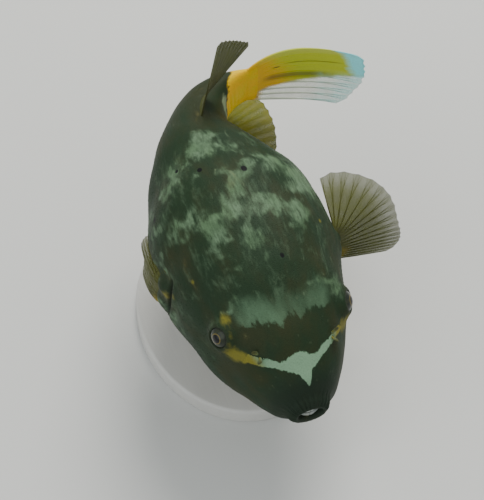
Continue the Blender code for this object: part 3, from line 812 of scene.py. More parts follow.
def detailed_body(settings):
    """The straight skin from lips to tail with its fine forms, and the fields of its markings."""
    rows = spread(settings.rows, 0.0, 1.0, CLOSER_ROWS)
    columns = spread(settings.columns + 1, -180.0, 180.0, CLOSER_COLUMNS)[:-1]
    share, degrees = np.meshgrid(rows, columns, indexing="ij")
    side = np.abs(degrees)
    point, normal = straight_skin(share, np.radians(degrees))
    span = GILL_ANGLES[1] - GILL_ANGLES[0]
    bow = 1 - ((side - sum(GILL_ANGLES) / 2) / span * 2) ** 2
    from_slit = (share - GILL_SHARE - GILL_BOW * (1 - bow)) * BODY_LENGTH
    open_slit = np.sqrt(np.clip(bow, 0, 1))
    lift = fine_forms(settings, share, degrees, point, open_slit, from_slit)
    point = point + normal * lift[..., None]
    point, rim = seat_eyes(point)

    dots = np.full(share.shape, 0.01)
    draw = np.random.default_rng(11)
    for at, turn in DOTS:
        centre = straight_skin(at, math.radians(turn))[0]
        size = DOT_RADIUS * draw.uniform(*DOT_SIZES)
        dots = np.minimum(dots, np.linalg.norm((point - centre) * DOT_SHAPE, axis=-1) - size)
    rear, front = np.interp(degrees, *zip(*BAND_REAR)), np.interp(degrees, *zip(*BAND_FRONT))
    band = np.minimum(rear - share, share - front) * BODY_LENGTH
    past = (share - np.interp(degrees, *zip(*PATCH_FRONT))) * BODY_LENGTH
    orange = (share - np.interp(degrees, *zip(*ORANGE_START))) * BODY_LENGTH
    waves = point * MOTTLE_WAVES
    stray = np.stack([unevenness(waves, MOTTLE_STRAY, seed) for seed in (21, 22, 23)], -1)
    strip = bell(orange, -0.0055, 0.0055) * rise(degrees, 24, 55)
    coat = rise(share, 0.12, 0.24) * (1 - rise(share, 0.74, 0.84))
    fields = {
        "straight": point,
        "mottle": blots(point + stray, (*MOTTLES, *flank_mottles())),
        "yellow": blots(point, YELLOWS),
        "dot": dots,
        "band": np.where(side < BAND_SIDE, band, -0.01),
        "band_end": rise(side, 38, 52),
        "patch": np.interp(degrees, *zip(*PATCH_WEIGHT)),
        "past": past,
        "orange": orange,
        "strip": strip * (1 - rise(degrees, 110, 150)),
        "belly": rise(side, 102, 146) * rise(share, 0.10, 0.24) * (1 - rise(share, 0.86, 0.95)),
        "muzzle": 1 - rise(share, 0.02, 0.085),
        "stalk": rise(share, 0.66, 0.76),
        "mask": rise(share, 0.06, 0.10) * (1 - rise(share, 0.155, 0.20)),
        # Where the gill slits get their painted shade
        "slit": open_slit * bell(from_slit, 0, GILL_HALF_WIDTH * 1.2),
        "rim": rim,
        "coat": coat * (1 - np.clip(1.6 * rim, 0, 1)),
    }
    return columns, point, fields


def mouth_inside(columns):
    """Rings of the straight skin from the bottom of the mouth out to the lips' crest."""
    angle = np.radians(columns)
    crest = plain_section(0.0, angle)
    rings = []
    for t in np.linspace(0, 1, MOUTH_RINGS, endpoint=False):
        share = smooth([(at, deep) for at, deep, _ in MOUTH_WALL], t)
        out = smooth([(at, far) for at, _, far in MOUTH_WALL], t)
        side = MOUTH_HALF_WIDTH * BODY_LENGTH * np.sin(angle)
        up = MOUTH_HALF_HEIGHT * BODY_LENGTH * np.cos(angle)
        fold = 1 + MOUTH_FOLD * out * lip_fold(angle)
        side = (side + (crest[:, 0] - side) * out) * fold
        up = (up + (crest[:, 2] - up) * out) * fold
        rings.append(np.stack([side, share * BODY_LENGTH + 0 * side, up], -1))
    return np.array(rings)


def stalk_end(columns):
    """Rings that carry the stalk on over the tail fin, fanning out with its rays and thinning."""
    angle = np.radians(columns)
    rim = plain_section(1.0, angle)
    high = rim[:, 2] > 0
    rings = []
    for t in np.linspace(0.08, 1, TAIL_CAP_RINGS):
        v = TAIL_OVERLAP * t
        thin = TAIL_CAP[0] + TAIL_CAP[1] * t + TAIL_CAP[2] * t * t
        along, across = tail_arc(np.full(len(angle), 0.5), v)
        grown = [tail_height(u, v) - tail_height(u, 0.0) for u in (0.0, 1.0)]
        taller = np.where(high, grown[0] / rim[:, 2].max(), grown[1] / rim[:, 2].min())
        tall = rim[:, 2] * (1 + taller)
        side = rim[:, 0] * thin + across + math.sin(TAIL_LEAN * v) * tall
        drawn_back = TAIL_CAP_EDGE[0] * (np.abs(tall) / TAIL_CAP_EDGE[1]) ** 2 * t
        ahead = BODY_LENGTH + GAP * t + along * (1 - drawn_back)
        rings.append(np.stack([side, ahead, tall], -1))
    return np.array(rings)


def skin_look(settings):
    """Damp olive-brown skin with its markings and the painted shade of its gill slits, from the
    fields on the mesh.
    """
    look = Look("puffer skin", Specular_IOR_Level=0.18, IOR=1.40)
    straight = look.field("straight", 1)
    streaks = look.stretch(straight, (1.0, 0.42, 1.0))
    noises = {
        "coarse": look.noise(streaks, 95, 3.0, 0.55),
        "middle": look.noise(streaks, 290, 5.0, 0.66, 0.5),
        "drawn": look.noise(look.stretch(straight, (1.0, 0.2, 1.0)), 520, 4.0, 0.6, 0.2),
        "fine": look.noise(straight, 1300, 3.0, 0.6),
    }
    fine, middle, drawn = noises["fine"], noises["middle"], noises["drawn"]
    pores = look.cells(straight, 1500)

    def uneven(value, **parts):
        """A number made uneven by parts of the noises."""
        for name, part in parts.items():
            value = value + (noises[name] - 0.5) * part
        return value

    # The ground: olive to brown, darker at the muzzle, with a few faint flecks
    browner = look.field("stalk") * 0.45 + look.field("mask") * 0.35
    brownness = ((noises["coarse"] - 0.47) * 3.0 + browner).step(-0.30, 0.95)
    colour = look.blend(brownness, settings.olive, settings.brown)
    colour = look.blend(look.field("muzzle") * 0.7, colour, settings.muzzle)
    bare = look.field("mask") * 0.3 + look.field("stalk") * 0.24 + look.field("muzzle") * 0.2
    faint = (uneven(look.noise(streaks, 150, 5.0, 0.66, 0.3), drawn=0.5) - bare).step(0.50, 0.78)
    colour = look.blend(faint * 0.34, colour, settings.mottle)

    # Mottles: a soft haze between them, ragged cores, and a streaky fill
    mottle = look.field("mottle")
    ragged = uneven(mottle, middle=1.9, coarse=0.7, drawn=1.5)
    near = mottle.step(0.004, 0.22)
    haze = ragged.step(-0.20, 0.66) * near * 0.52
    core = ragged.step(0.28, 0.92) * near
    greener = look.noise(straight, 60, 2.0).step(0.35, 0.65)
    pale_colour = look.blend(greener, settings.mottle, settings.mottle_green)
    colour = look.blend(haze, colour, pale_colour)
    fill = 0.30 + 0.70 * uneven(drawn, middle=0.6).step(0.36, 0.60)
    colour = look.blend(core * fill, colour, pale_colour)

    # The patch between the eyes: toothed in front, fading out behind
    past = look.field("past")
    front = uneven(past, drawn=0.0090, middle=0.0030).step(-0.0008, 0.0014)
    behind = uneven(past, middle=0.0090, coarse=0.0100).step(0.0150, 0.0040)
    patch = look.field("patch") * front * behind * (0.35 + 0.9 * middle + 0.4 * (drawn - 0.5))
    colour = look.blend(patch, colour, settings.patch)

    belly = uneven(look.field("belly"), middle=0.9, coarse=1.6).step(0.25, 1.05)
    colour = look.blend(belly * 0.85, colour, settings.belly)
    strip = uneven(look.field("strip"), middle=1.5, drawn=1.3).step(0.25, 1.0)
    colour = look.blend(strip * 0.85, colour, settings.strip)
    yellow = look.field("yellow")
    torn = ((drawn - 0.5) * 0.9 + (middle - 0.5) * 0.7) * yellow.step(0.0, 0.35)
    colour = look.blend((yellow + torn).step(0.22, 0.98) * 0.85, colour, settings.yellow)
    band_edge = uneven(look.field("band"), middle=0.0034, fine=0.0010)
    band_colour = look.blend(look.field("band_end"), settings.band, settings.yellow)
    colour = look.blend(band_edge.step(-0.00025, 0.00045), colour, band_colour)
    orange_edge = uneven(look.field("orange"), middle=0.0060, coarse=0.0080, drawn=0.0060)
    yellower = uneven(noises["coarse"], drawn=0.6).step(0.35, 0.70)
    amber = look.blend(yellower, settings.orange, settings.amber)
    colour = look.blend(orange_edge.step(-0.0008, 0.0014), colour, amber)
    colour = look.blend(look.field("rim") * 0.6, colour, settings.lid)
    dot = uneven(look.field("dot"), middle=0.0006).step(0.00025, -0.0002)
    colour = look.blend(dot, colour, settings.dot)
    # Painted shade: the gill slits are painted near-black, in the dots' colour, over their grooves
    colour = look.blend(look.field("slit") * 0.9, colour, settings.dot)
    colour = look.tint(colour, 0.78 + 0.30 * fine + 0.18 * pores.step(0.0, 0.6))

    rough = 0.46 + 0.24 * fine
    relief = fine * 0.6 + pores.step(0.05, 0.5) * 0.5 + middle * 0.8
    return look.feed(Base_Color=colour, Roughness=rough, Normal=look.bump(relief, 0.00022, 0.75))


def make_skin(settings):
    """One skin over the head, the torso and the stalk of the tail."""
    columns, point, fields = detailed_body(settings)
    before, after = mouth_inside(columns), stalk_end(columns)
    rings = np.concatenate([before, point, after])
    ends = {key: np.full(before.shape[:2], MOUTH_FIELDS.get(key, 0.0)) for key in fields}
    ends["straight"] = before
    tails = {key: np.repeat(values[-1:], len(after), 0) for key, values in fields.items()}
    tails["straight"] = after
    points, faces = lathe(bent(rings))
    whole = {}
    for key, values in fields.items():
        joined = np.concatenate([ends[key], values, tails[key]])
        flat = joined.reshape(-1, 3) if key == "straight" else joined.ravel()
        whole[key] = np.concatenate([flat, joined[:1].mean(1), joined[-1:].mean(1)])
    back = bent(rings + (0, 0.002, 0)) - bent(rings)
    whole["lie"] = np.concatenate([unit(back).reshape(-1, 3), np.zeros((2, 3))])
    mesh = closed_mesh("skin", points, faces, skin_look(settings), whole)
    return piece(mesh, "skin", "head", "torso", "tail_stalk")


def prickle_shape():
    """Small cones spread over the skin where its coat field is, leaning back along the body."""
    shape = Shape("Prickles", (
        ("Spacing", "NodeSocketFloat", 0.0018),
        ("Height", "NodeSocketFloat", 0.0005),
        ("Radius", "NodeSocketFloat", 0.00018),
        ("Lean", "NodeSocketFloat", 1.3),
        ("Seed", "NodeSocketInt", 5),
        ("Material", "NodeSocketMaterial", None),
    ))
    given = shape.given
    scatter = {
        "Mesh": given["Geometry"],
        "Distance Min": given["Spacing"],
        "Density Max": PRICKLES_MOST,
        "Density Factor": shape.named("coat"),
        "Seed": given["Seed"],
    }
    poisson = {"distribute_method": "POISSON"}
    points = shape.node("GeometryNodeDistributePointsOnFaces", poisson, scatter)
    normal = Socket(shape, points.socket.node.outputs["Normal"])
    lie = shape.node("ShaderNodeVectorMath", {"operation": "SCALE"},
                     {0: shape.named("lie", "FLOAT_VECTOR"), "Scale": given["Lean"]})
    way = shape.node("ShaderNodeVectorMath", {"operation": "ADD"}, {0: normal, 1: lie})
    turn = shape.node("FunctionNodeAlignRotationToVector", {"axis": "Z"}, {"Vector": way})
    size = shape.node("FunctionNodeRandomValue", {"data_type": "FLOAT"},
                      {2: 0.6, 3: 1.25, "Seed": given["Seed"]}, output=1)
    cone = shape.node("GeometryNodeMeshCone", {"fill_type": "NGON"},
                      {"Vertices": 5, "Radius Bottom": given["Radius"], "Depth": given["Height"]})
    sunk = shape.node("GeometryNodeTransform", None,
                      {"Geometry": cone, "Translation": (0.0, 0.0, -0.0001)})
    values = {"Points": points, "Instance": sunk, "Rotation": turn, "Scale": size}
    shape.finish(shape.node("GeometryNodeInstanceOnPoints", None, values))
    return shape


def make_prickles(settings):
    """The prickles, in the skin's own material."""
    whole = bpy.data.objects.get("skin")
    if whole is None:
        raise RuntimeError("the skin comes before its prickles")
    values = {
        "Spacing": settings.prickle_spacing,
        "Height": settings.prickle_height,
        "Material": whole.data.materials[0],
    }
    return piece(prickle_shape().build("prickles", whole.data.copy(), values), "skin")


def make_nostrils(settings):
    """Two flattened fleshy flaps from one root at each nostril."""
    look = Look("nostril flap", Specular_IOR_Level=0.2)
    grain = look.noise(look.place(), 900, 3.0)
    tip = (look.field("tip") + (grain - 0.5) * 0.3).step(0.45, 0.95)
    colour = look.blend(grain.step(0.3, 0.7), settings.mottle, settings.yellow)
    colour = look.blend(tip * 0.8, colour, settings.brown)
    relief = look.bump(grain, 0.0001)
    material = look.feed(Base_Color=colour, Roughness=0.5 + 0.2 * grain, Normal=relief)
    parts = []
    turns = np.linspace(0, 2 * math.pi, FLAP_SIDES, endpoint=False)[:, None]
    for sign in (1, -1):
        angle = math.radians(NOSTRIL_ANGLE) * sign
        root, out = stance(NOSTRIL_SHARE, angle)
        ahead = skin(NOSTRIL_SHARE - 0.02, angle) - root
        ahead = unit(ahead - out * (ahead @ out))
        across = np.cross(out, ahead)
        for tilt in (NOSTRIL_SPREAD, -NOSTRIL_SPREAD):
            way = out * math.cos(tilt) + ahead * math.sin(tilt)
            thin = unit(np.cross(way, across))
            rings = []
            for t in np.linspace(0, 1, FLAP_RINGS):
                wide = NOSTRIL_RADIUS * smooth(FLAP_WIDTH, t)
                flat = NOSTRIL_RADIUS * smooth(FLAP_THICKNESS, t)
                curl = ahead * math.sin(tilt) * FLAP_CURL * t * t
                middle = root - out * FLAP_ROOT + way * (FLAP_ROOT + NOSTRIL_HEIGHT) * t + curl
                rings.append(middle + across * wide * np.cos(turns) + thin * flat * np.sin(turns))
            parts.append(lathe(rings))
    along = np.concatenate([np.repeat(np.linspace(0, 1, FLAP_RINGS), FLAP_SIDES), (0, 1)])
    fields = {"tip": np.tile(along, len(parts))}
    mesh = closed_mesh("nostril_flaps", *several(parts), material, fields)
    return piece(mesh, "skin")


# Eyes and beak


def eye_look(settings):
    """A dark pupil in a speckled iris with a thin gold ring, under a clear cornea."""
    look = Look("eye", Coat_Weight=0.7, Coat_Roughness=0.04, Coat_IOR=1.3, Specular_IOR_Level=0.1)
    polar = look.field("polar")
    wander = look.noise(look.place(), 420, 4.0, 0.6)
    rays = look.noise(look.stretch(look.field("spoke", 1), (9.0, 9.0, 1.2)), 3.0, 3.0)
    speckle = (wander * 0.6 + rays * 0.5).step(0.42, 0.66)
    iris = look.blend(speckle, settings.iris, settings.iris_light)
    edge = polar + (wander - 0.5) * 0.03
    pupil = settings.pupil
    ring = edge.step(pupil, pupil + 0.03) * edge.step(pupil + 0.10, pupil + 0.05)
    colour = look.blend(ring * 0.85, iris, settings.gold)
    colour = look.blend(edge.step(pupil + 0.01, pupil - 0.01), colour, settings.pupil_colour)
    colour = look.blend(polar.step(0.60, 0.72), colour, settings.iris_edge)
    return look.feed(Base_Color=colour, Roughness=0.25 + 0.2 * wander)


def make_eyes(settings):
    """Two balls let into the skin, with a slight cornea in front of the pupil."""
    look = eye_look(settings)
    around = np.linspace(0, 2 * math.pi, EYE_SIDES, endpoint=False)
    polar = np.concatenate([np.linspace(*part) for part in EYE_RINGS])
    for side, sign in (("left", 1), ("right", -1)):
        angle = math.radians(EYE_ANGLE) * sign
        point, out = stance(EYE_SHARE, angle)
        third = unit(np.cross(out, (0, -1, 0)))
        fourth = np.cross(out, third)
        centre = point - out * EYE_SUNK
        rings, spokes = [], []
        for turn in polar:
            cornea = CORNEA[0] * bell(turn, 0, CORNEA[1])
            flat = np.cos(around)[:, None] * third + np.sin(around)[:, None] * fourth
            way = math.cos(turn) * out + math.sin(turn) * flat
            rings.append(centre + way * (EYE_RADIUS + cornea))
            spoke = [np.cos(around), np.sin(around), np.full(len(around), turn)]
            spokes.append(np.stack(spoke, -1))
        points, faces = lathe(rings)
        fields = {
            "polar": np.concatenate([np.repeat(polar, len(around)), [0.0, math.pi]]),
            "spoke": np.concatenate([np.array(spokes).reshape(-1, 3), np.zeros((2, 3))]),
        }
        piece(closed_mesh(f"eyeball_{side}", points, faces, look, fields), "eye", f"eye_{side}")


def make_beak(settings):
    """Two curved ivory plates, each grooved down its middle, with fine growth lines."""
    look = Look("beak ivory", Coat_Weight=0.4, Coat_Roughness=0.15, Specular_IOR_Level=0.5)
    place = look.place()
    lines = look.noise(look.stretch(place, (1.0, 1.0, 7.0)), 700, 3.0)
    stain = look.noise(place, 260, 3.0).step(0.40, 0.75)
    colour = look.blend(lines.step(0.35, 0.65), settings.tooth, settings.tooth_dark)
    colour = look.blend(stain * 0.5, colour, settings.tooth_stain)
    relief = look.bump(lines, 0.00006)
    material = look.feed(Base_Color=colour, Roughness=0.28 + 0.2 * lines, Normal=relief)
    half_width = MOUTH_HALF_WIDTH * BODY_LENGTH - GAP
    half_height = MOUTH_HALF_HEIGHT * BODY_LENGTH - GAP
    for side, sign in (("upper", 1), ("lower", -1)):
        rings = []
        for t in np.linspace(-BEAK_SIDE, BEAK_SIDE, BEAK_COLUMNS):
            groove = BEAK_GROOVE[0] * bell(t, 0, BEAK_GROOVE[1])
            nick = BEAK_NICKS * math.sin(23 * t + sign) * math.sin(9 * t)
            front = BEAK_FRONT + BEAK_BOW * t * t + groove
            rear = front + BEAK_THICKNESS
            edge = BEAK_PARTING * (1 + abs(t)) + groove + nick
            wall = max(half_height * math.sqrt(1 - t * t) - GAP / 2, edge + GAP)
            depth = (rear - front) / 2
            middle, half = (wall + edge) / 2, (wall - edge) / 2
            ring = []
            for roll in np.linspace(0, 2 * math.pi, BEAK_SIDES, endpoint=False):
                along = (front + rear) / 2 - depth * rounded(math.cos(roll), BEAK_ROUNDNESS)
                up = middle + half * rounded(math.sin(roll), BEAK_ROUNDNESS)
                ring.append(placed(along / BODY_LENGTH, half_width * t, sign * up))
            rings.append(ring)
        points, faces = lathe(rings)
        mesh = closed_mesh(f"beak_{side}", points, faces, material, sharp=50)
        piece(mesh, "teeth", f"{side}_beak")


# Fins


def midline_path(sizes, angle):
    """The dorsal fin, angle 0, or the anal fin, pi: points from ray u and the way v along it."""
    first, last = sizes["shares"]
    axes = np.array(axes_at((first + last) / 2))

    def path(u, v):
        root = skin(first + (last - first) * u, angle + 0 * u)
        way = unit(mixed(sizes["ways"], u) @ axes)
        length = sizes["length"] * fin_reach(sizes["outline"], u)
        return root + way * (-ROOT_SUNK + (length + ROOT_SUNK) * v)[..., None]

    return path


def pectoral_path(sign, ways, bow):
    """A pectoral fin, the left one with sign 1; bow brings its rays' tips nearer the flank."""
    left, back, up = axes_at(PECTORAL_SHARES[0])
    axes = np.array((left * sign, back, up))
    ripple_way = (up + back) / math.sqrt(2)

    def path(u, v):
        share = PECTORAL_SHARES[0] + (PECTORAL_SHARES[1] - PECTORAL_SHARES[0]) * u
        degrees = PECTORAL_ANGLES[0] + (PECTORAL_ANGLES[1] - PECTORAL_ANGLES[0]) * u
        root = skin(share, np.radians(degrees) * sign)
        way = unit(mixed(ways, u) @ axes)
        ripple = PECTORAL_RIPPLE * np.sin(2.5 * math.pi * u) * v * v
        length = PECTORAL_LENGTH * fin_reach(PECTORAL_OUTLINE, u)
        ray = way * (-ROOT_SUNK + (length + ROOT_SUNK) * v)[..., None]
        dip = ROOT_DIP[0] * np.clip(1 - v / ROOT_DIP[1], 0, 1) ** 2
        inwards = (bow * v * v + dip)[..., None]
        return root + ray + ripple_way * ripple[..., None] - left * sign * inwards

    return path


def tail_arc(u, v):
    """How far backwards and to the left a ray of the tail fin has come."""
    turn = TAIL_TURN * v
    reach = TAIL_LENGTH * fin_reach(TAIL_OUTLINE, u)
    return reach / TAIL_TURN * np.sin(turn), reach / TAIL_TURN * (1 - np.cos(turn))


def tail_height(u, v):
    """How high above the spine that ray is."""
    low = TAIL_ROOT[0] + (TAIL_ROOT[1] - TAIL_ROOT[0]) * u
    high = TAIL_TIP[0] + (TAIL_TIP[1] - TAIL_TIP[0]) * u
    return low + (high - low) * (1 - (1 - np.clip(v, 0, 1)) ** TAIL_RISE)


def tail_path():
    """The tail fin, whose rays follow an arc that carries on the bend of the spine."""
    left, back, up = axes_at(1.0)
    root = placed(1.0, 0.0, 0.0) + back * GAP

    def path(u, v):
        along, across = tail_arc(u, v)
        height = tail_height(u, v)
        lean = TAIL_LEAN * v
        sideways = across + np.sin(lean) * height
        rise_up = np.cos(lean) * height
        point = root + back * along[..., None] + left * sideways[..., None]
        return point + up * rise_up[..., None]

    return path


def fin_reach(outline, u):
    """The share of the longest ray's length, through the outline's first, middle and last ray."""
    corner = 1 - CORNER * (np.clip(1 - u / 0.1, 0, 1) ** 2 + np.clip((u - 0.9) / 0.1, 0, 1) ** 2)
    return corner * smooth(((0, outline[0]), (0.45, outline[1]), (1, outline[2])), u)


def make_membrane(name, path, rays, look, thickness, swell, scallop, start=0.0, seed=1):
    """A thin closed sheet between and round the rays, its margin scalloped and a little worn."""
    columns, rows = (rays - 1) * SHEET_COLUMNS + 1, SHEET_ROWS
    u = np.linspace(0, 1, columns)
    draw = np.random.default_rng(seed)
    between = np.abs(np.sin(math.pi * u * (rays - 1)))
    worn = np.interp(u, np.linspace(0, 1, rays * 2), draw.uniform(0, SHEET_WEAR, rays * 2))
    end = 1 - scallop * between - worn
    v = start + (end - start)[None, :] * (np.linspace(0, 1, rows) ** SHEET_CLOSER)[:, None]
    across = np.broadcast_to(u, v.shape)
    grid = path(across, v)
    normal = unit(np.cross(np.gradient(grid, axis=1), np.gradient(grid, axis=0)))
    sag = SHEET_SAG * (between**2)[None, :] * np.clip(v, 0, 1)
    grid = grid + normal * sag[..., None]
    root = swell[0] * np.exp(-np.maximum(v, 0) / swell[1]) * np.sqrt(4 * across * (1 - across))
    half = np.interp(v, (0, 1), thickness) + root
    near, far = grid + normal * half[..., None], grid - normal * half[..., None]
    points = np.concatenate([near.reshape(-1, 3), far.reshape(-1, 3)])
    count = rows * columns
    faces = quads(rows, columns).tolist()
    faces += [face[::-1] for face in quads(rows, columns, count).tolist()]
    rim = [*range(columns), *range(2 * columns - 1, count, columns)]
    rim += [*range(count - 2, count - columns - 1, -1), *range(count - 2 * columns, 0, -columns)]
    for a, b in zip(rim, rim[1:] + rim[:1]):
        faces.append([b, a, a + count, b + count])
    fields = {"along": v, "across": across, "between": np.broadcast_to(between, v.shape)}
    doubled = {key: np.concatenate([values.ravel()] * 2) for key, values in fields.items()}
    return closed_mesh(name, points, faces, look, doubled)


def ray_shape():
    """Tubes along the edges of a mesh, as thick as its radius field says."""
    shape = Shape("Fin rays", (
        ("Sides", "NodeSocketInt", 8),
        ("Thickness", "NodeSocketFloat", 1.0),
        ("Material", "NodeSocketMaterial", None),
    ))
    given = shape.given
    curve = shape.node("GeometryNodeMeshToCurve", None, {"Mesh": given["Geometry"]})
    round_values = {"Resolution": given["Sides"], "Radius": 1.0}
    ring = shape.node("GeometryNodeCurvePrimitiveCircle", None, round_values)
    radius = shape.named("radius") * given["Thickness"]
    values = {"Curve": curve, "Profile Curve": ring, "Scale": radius, "Fill Caps": True}
    tubes = shape.node("GeometryNodeCurveToMesh", None, values)
    shape.finish(shape.node("GeometryNodeSetShadeSmooth", None, {"Geometry": tubes}))
    return shape


def ray_lines(path, rays, radii, start):
    """A mesh of lines along the rays, each of which forks twice towards its tip."""
    step = 1 / (rays - 1)
    points, edges, radius, along, across = [], [], [], [], []
    for k in range(rays):
        for branch in range(4):
            first = (-1, 1)[branch // 2]
            second = (-1, 1)[branch % 2]
            begin = (start, FORKS[1], FORKS[0], FORKS[1])[branch]
            steps = max(int((1 - begin) * RAY_STEPS), 10)
            v = np.linspace(max(begin - RAY_OVERLAP, start), RAY_END, steps)
            apart = first * FORK_SPREAD[0] * rise(v, FORKS[0], 1.0)
            apart = apart + second * FORK_SPREAD[1] * rise(v, FORKS[1], 1.0)
            u = np.clip((k + apart) * step, 0.0, 1.0)
            knots = 1 + 0.10 * np.abs(np.sin(math.pi * v * RAY_KNOTS)) * rise(v, 0.25, 0.4)
            thinner = 0.25 * rise(v, FORKS[0], FORKS[0] + 0.1)
            thinner = thinner + 0.20 * rise(v, FORKS[1], FORKS[1] + 0.1)
            size = np.interp(v, (0, 0.55, 1), radii) * knots * (1 - thinner)
            edges += [(len(points) + i, len(points) + i + 1) for i in range(len(v) - 1)]
            points += path(u, v).tolist()
            radius += size.tolist()
            along += v.tolist()
            across += u.tolist()
    mesh = bpy.data.meshes.new("ray lines")
    mesh.from_pydata(points, edges, [])
    for key, values in (("radius", radius), ("along", along), ("across", across)):
        mesh.attributes.new(key, "FLOAT", "POINT").data.foreach_set("value", values)
    return mesh


def root_tint(look, colours, shade, grain):
    """Darker at the root, and yellow at the last rays' root."""
    dark, yellow = colours
    along, across = look.field("along"), look.field("across")
    shade = look.blend((along + (grain - 0.5) * 0.2).step(0.24, 0.04), shade, dark)
    stray = (grain - 0.5) * 0.1
    lowest = (along + stray).step(0.34, 0.16) * (across + stray).step(0.62, 0.80)
    return look.blend(lowest * 0.9, shade, yellow)


def membrane_look(name, colour, edge_colour, alpha, fade, root_alpha=1.0, root=None):
    """Thin skin between rays: thicker at the root, clearer between them, with a soft clouding."""
    look = Look(name, Specular_IOR_Level=0.12)
    along, across, between = look.field("along"), look.field("across"), look.field("between")
    place = look.place()
    cloud = look.noise(place, 160, 4.0, 0.6)
    fine = look.noise(place, 1100, 3.0)
    shade = look.blend((cloud + along * 0.25).step(0.40, 0.85), colour, edge_colour)
    if root is not None:
        shade = root_tint(look, root, shade, cloud)
    shade = look.tint(shade, 0.82 + 0.36 * fine)
    clear = alpha + (root_alpha - alpha) * along.step(0.34, 0.04) - 0.12 * between * along
    clear = (clear + (cloud - 0.5) * 0.25).bigger(0.04).smaller(1.0)
    clear = clear * (1.0 - fade * along.step(0.60, 1.0))
    rough = 0.42 + 0.25 * fine
    return look, {"Base_Color": shade, "Alpha": clear, "Roughness": rough}, across


def ray_look(name, colour, tip_colour, root=None):
    """Horny rays, paler towards their tips."""
    look = Look(name, Specular_IOR_Level=0.12)
    along = look.field("along")
    grain = look.noise(look.place(), 800, 3.0)
    shade = look.blend((along + (grain - 0.5) * 0.3).step(0.40, 0.95), colour, tip_colour)
    if root is not None:
        shade = root_tint(look, root, shade, grain)
    return look.feed(Base_Color=look.tint(shade, 0.8 + 0.4 * grain), Roughness=0.42 + 0.2 * grain)


def make_fin(name, path, rays, radii, looks, slot, nodes, start=0.0, **sheet):
    """A fin's membrane and, as one more piece, its rays."""
    membrane, ray = looks
    mesh = make_membrane(f"{name}_membrane", path, rays, membrane, start=start, **sheet)
    piece(mesh, slot, *nodes)
    lines = ray_lines(path, rays, radii, start)
    piece(ray_shape().build(f"{name}_rays", lines, {"Material": ray}), slot)


def make_pectoral_fins(settings):
    """The left fin, spread, and the right one, laid back along the flank."""
    root = (settings.ray, settings.yellow_root)
    colours = settings.pectoral, settings.pectoral_edge
    alpha = settings.pectoral_alpha
    look, links, _ = membrane_look("pectoral membrane", *colours, alpha, 0.35, 0.95, root)
    looks = look.feed(**links), ray_look("pectoral ray", settings.ray, settings.ray_tip, root)
    path = pectoral_path(1, PECTORAL_LEFT_WAYS, 0.0)
    make_fin("left_pectoral", path, PECTORAL_RAYS, PECTORAL_RADII, looks, "fin_membrane",
             ("pectoral_fin_left_upper", "pectoral_fin_left_lower"), **PECTORAL_SHEET)
    path = pectoral_path(-1, PECTORAL_RIGHT_WAYS, PECTORAL_RIGHT_BOW)
    make_fin("right_pectoral", path, PECTORAL_RAYS, PECTORAL_RADII, looks, "fin_membrane",
             ("pectoral_fin_right",), seed=2, **PECTORAL_SHEET)


def make_midline_fins(settings):
    """The dorsal fin, with its pale first ray, and the anal fin."""
    colours = settings.dorsal, settings.dorsal_edge
    look, links, across = membrane_look("dorsal membrane", *colours, 0.94, 0.10)
    front = across.step(0.10, 0.02)
    links["Base_Color"] = look.blend(front * 0.7, links["Base_Color"], settings.dorsal_front)
    links["Alpha"] = links["Alpha"].bigger(front * 0.9)
    looks = look.feed(**links), ray_look("dorsal ray", settings.dorsal_ray, settings.dorsal_front)
    make_fin("dorsal", midline_path(DORSAL, 0.0), DORSAL["rays"], MIDLINE_RADII, looks,
             "fin_membrane", ("dorsal_fin",), seed=3, **MIDLINE_SHEET)
    look, links, _ = membrane_look("anal membrane", settings.anal, settings.anal_edge, 0.93, 0.12)
    looks = look.feed(**links), ray_look("anal ray", settings.anal_ray, settings.anal_edge)
    make_fin("anal", midline_path(ANAL, math.pi), ANAL["rays"], MIDLINE_RADII, looks,
             "fin_membrane", ("anal_fin",), seed=4, **MIDLINE_SHEET)


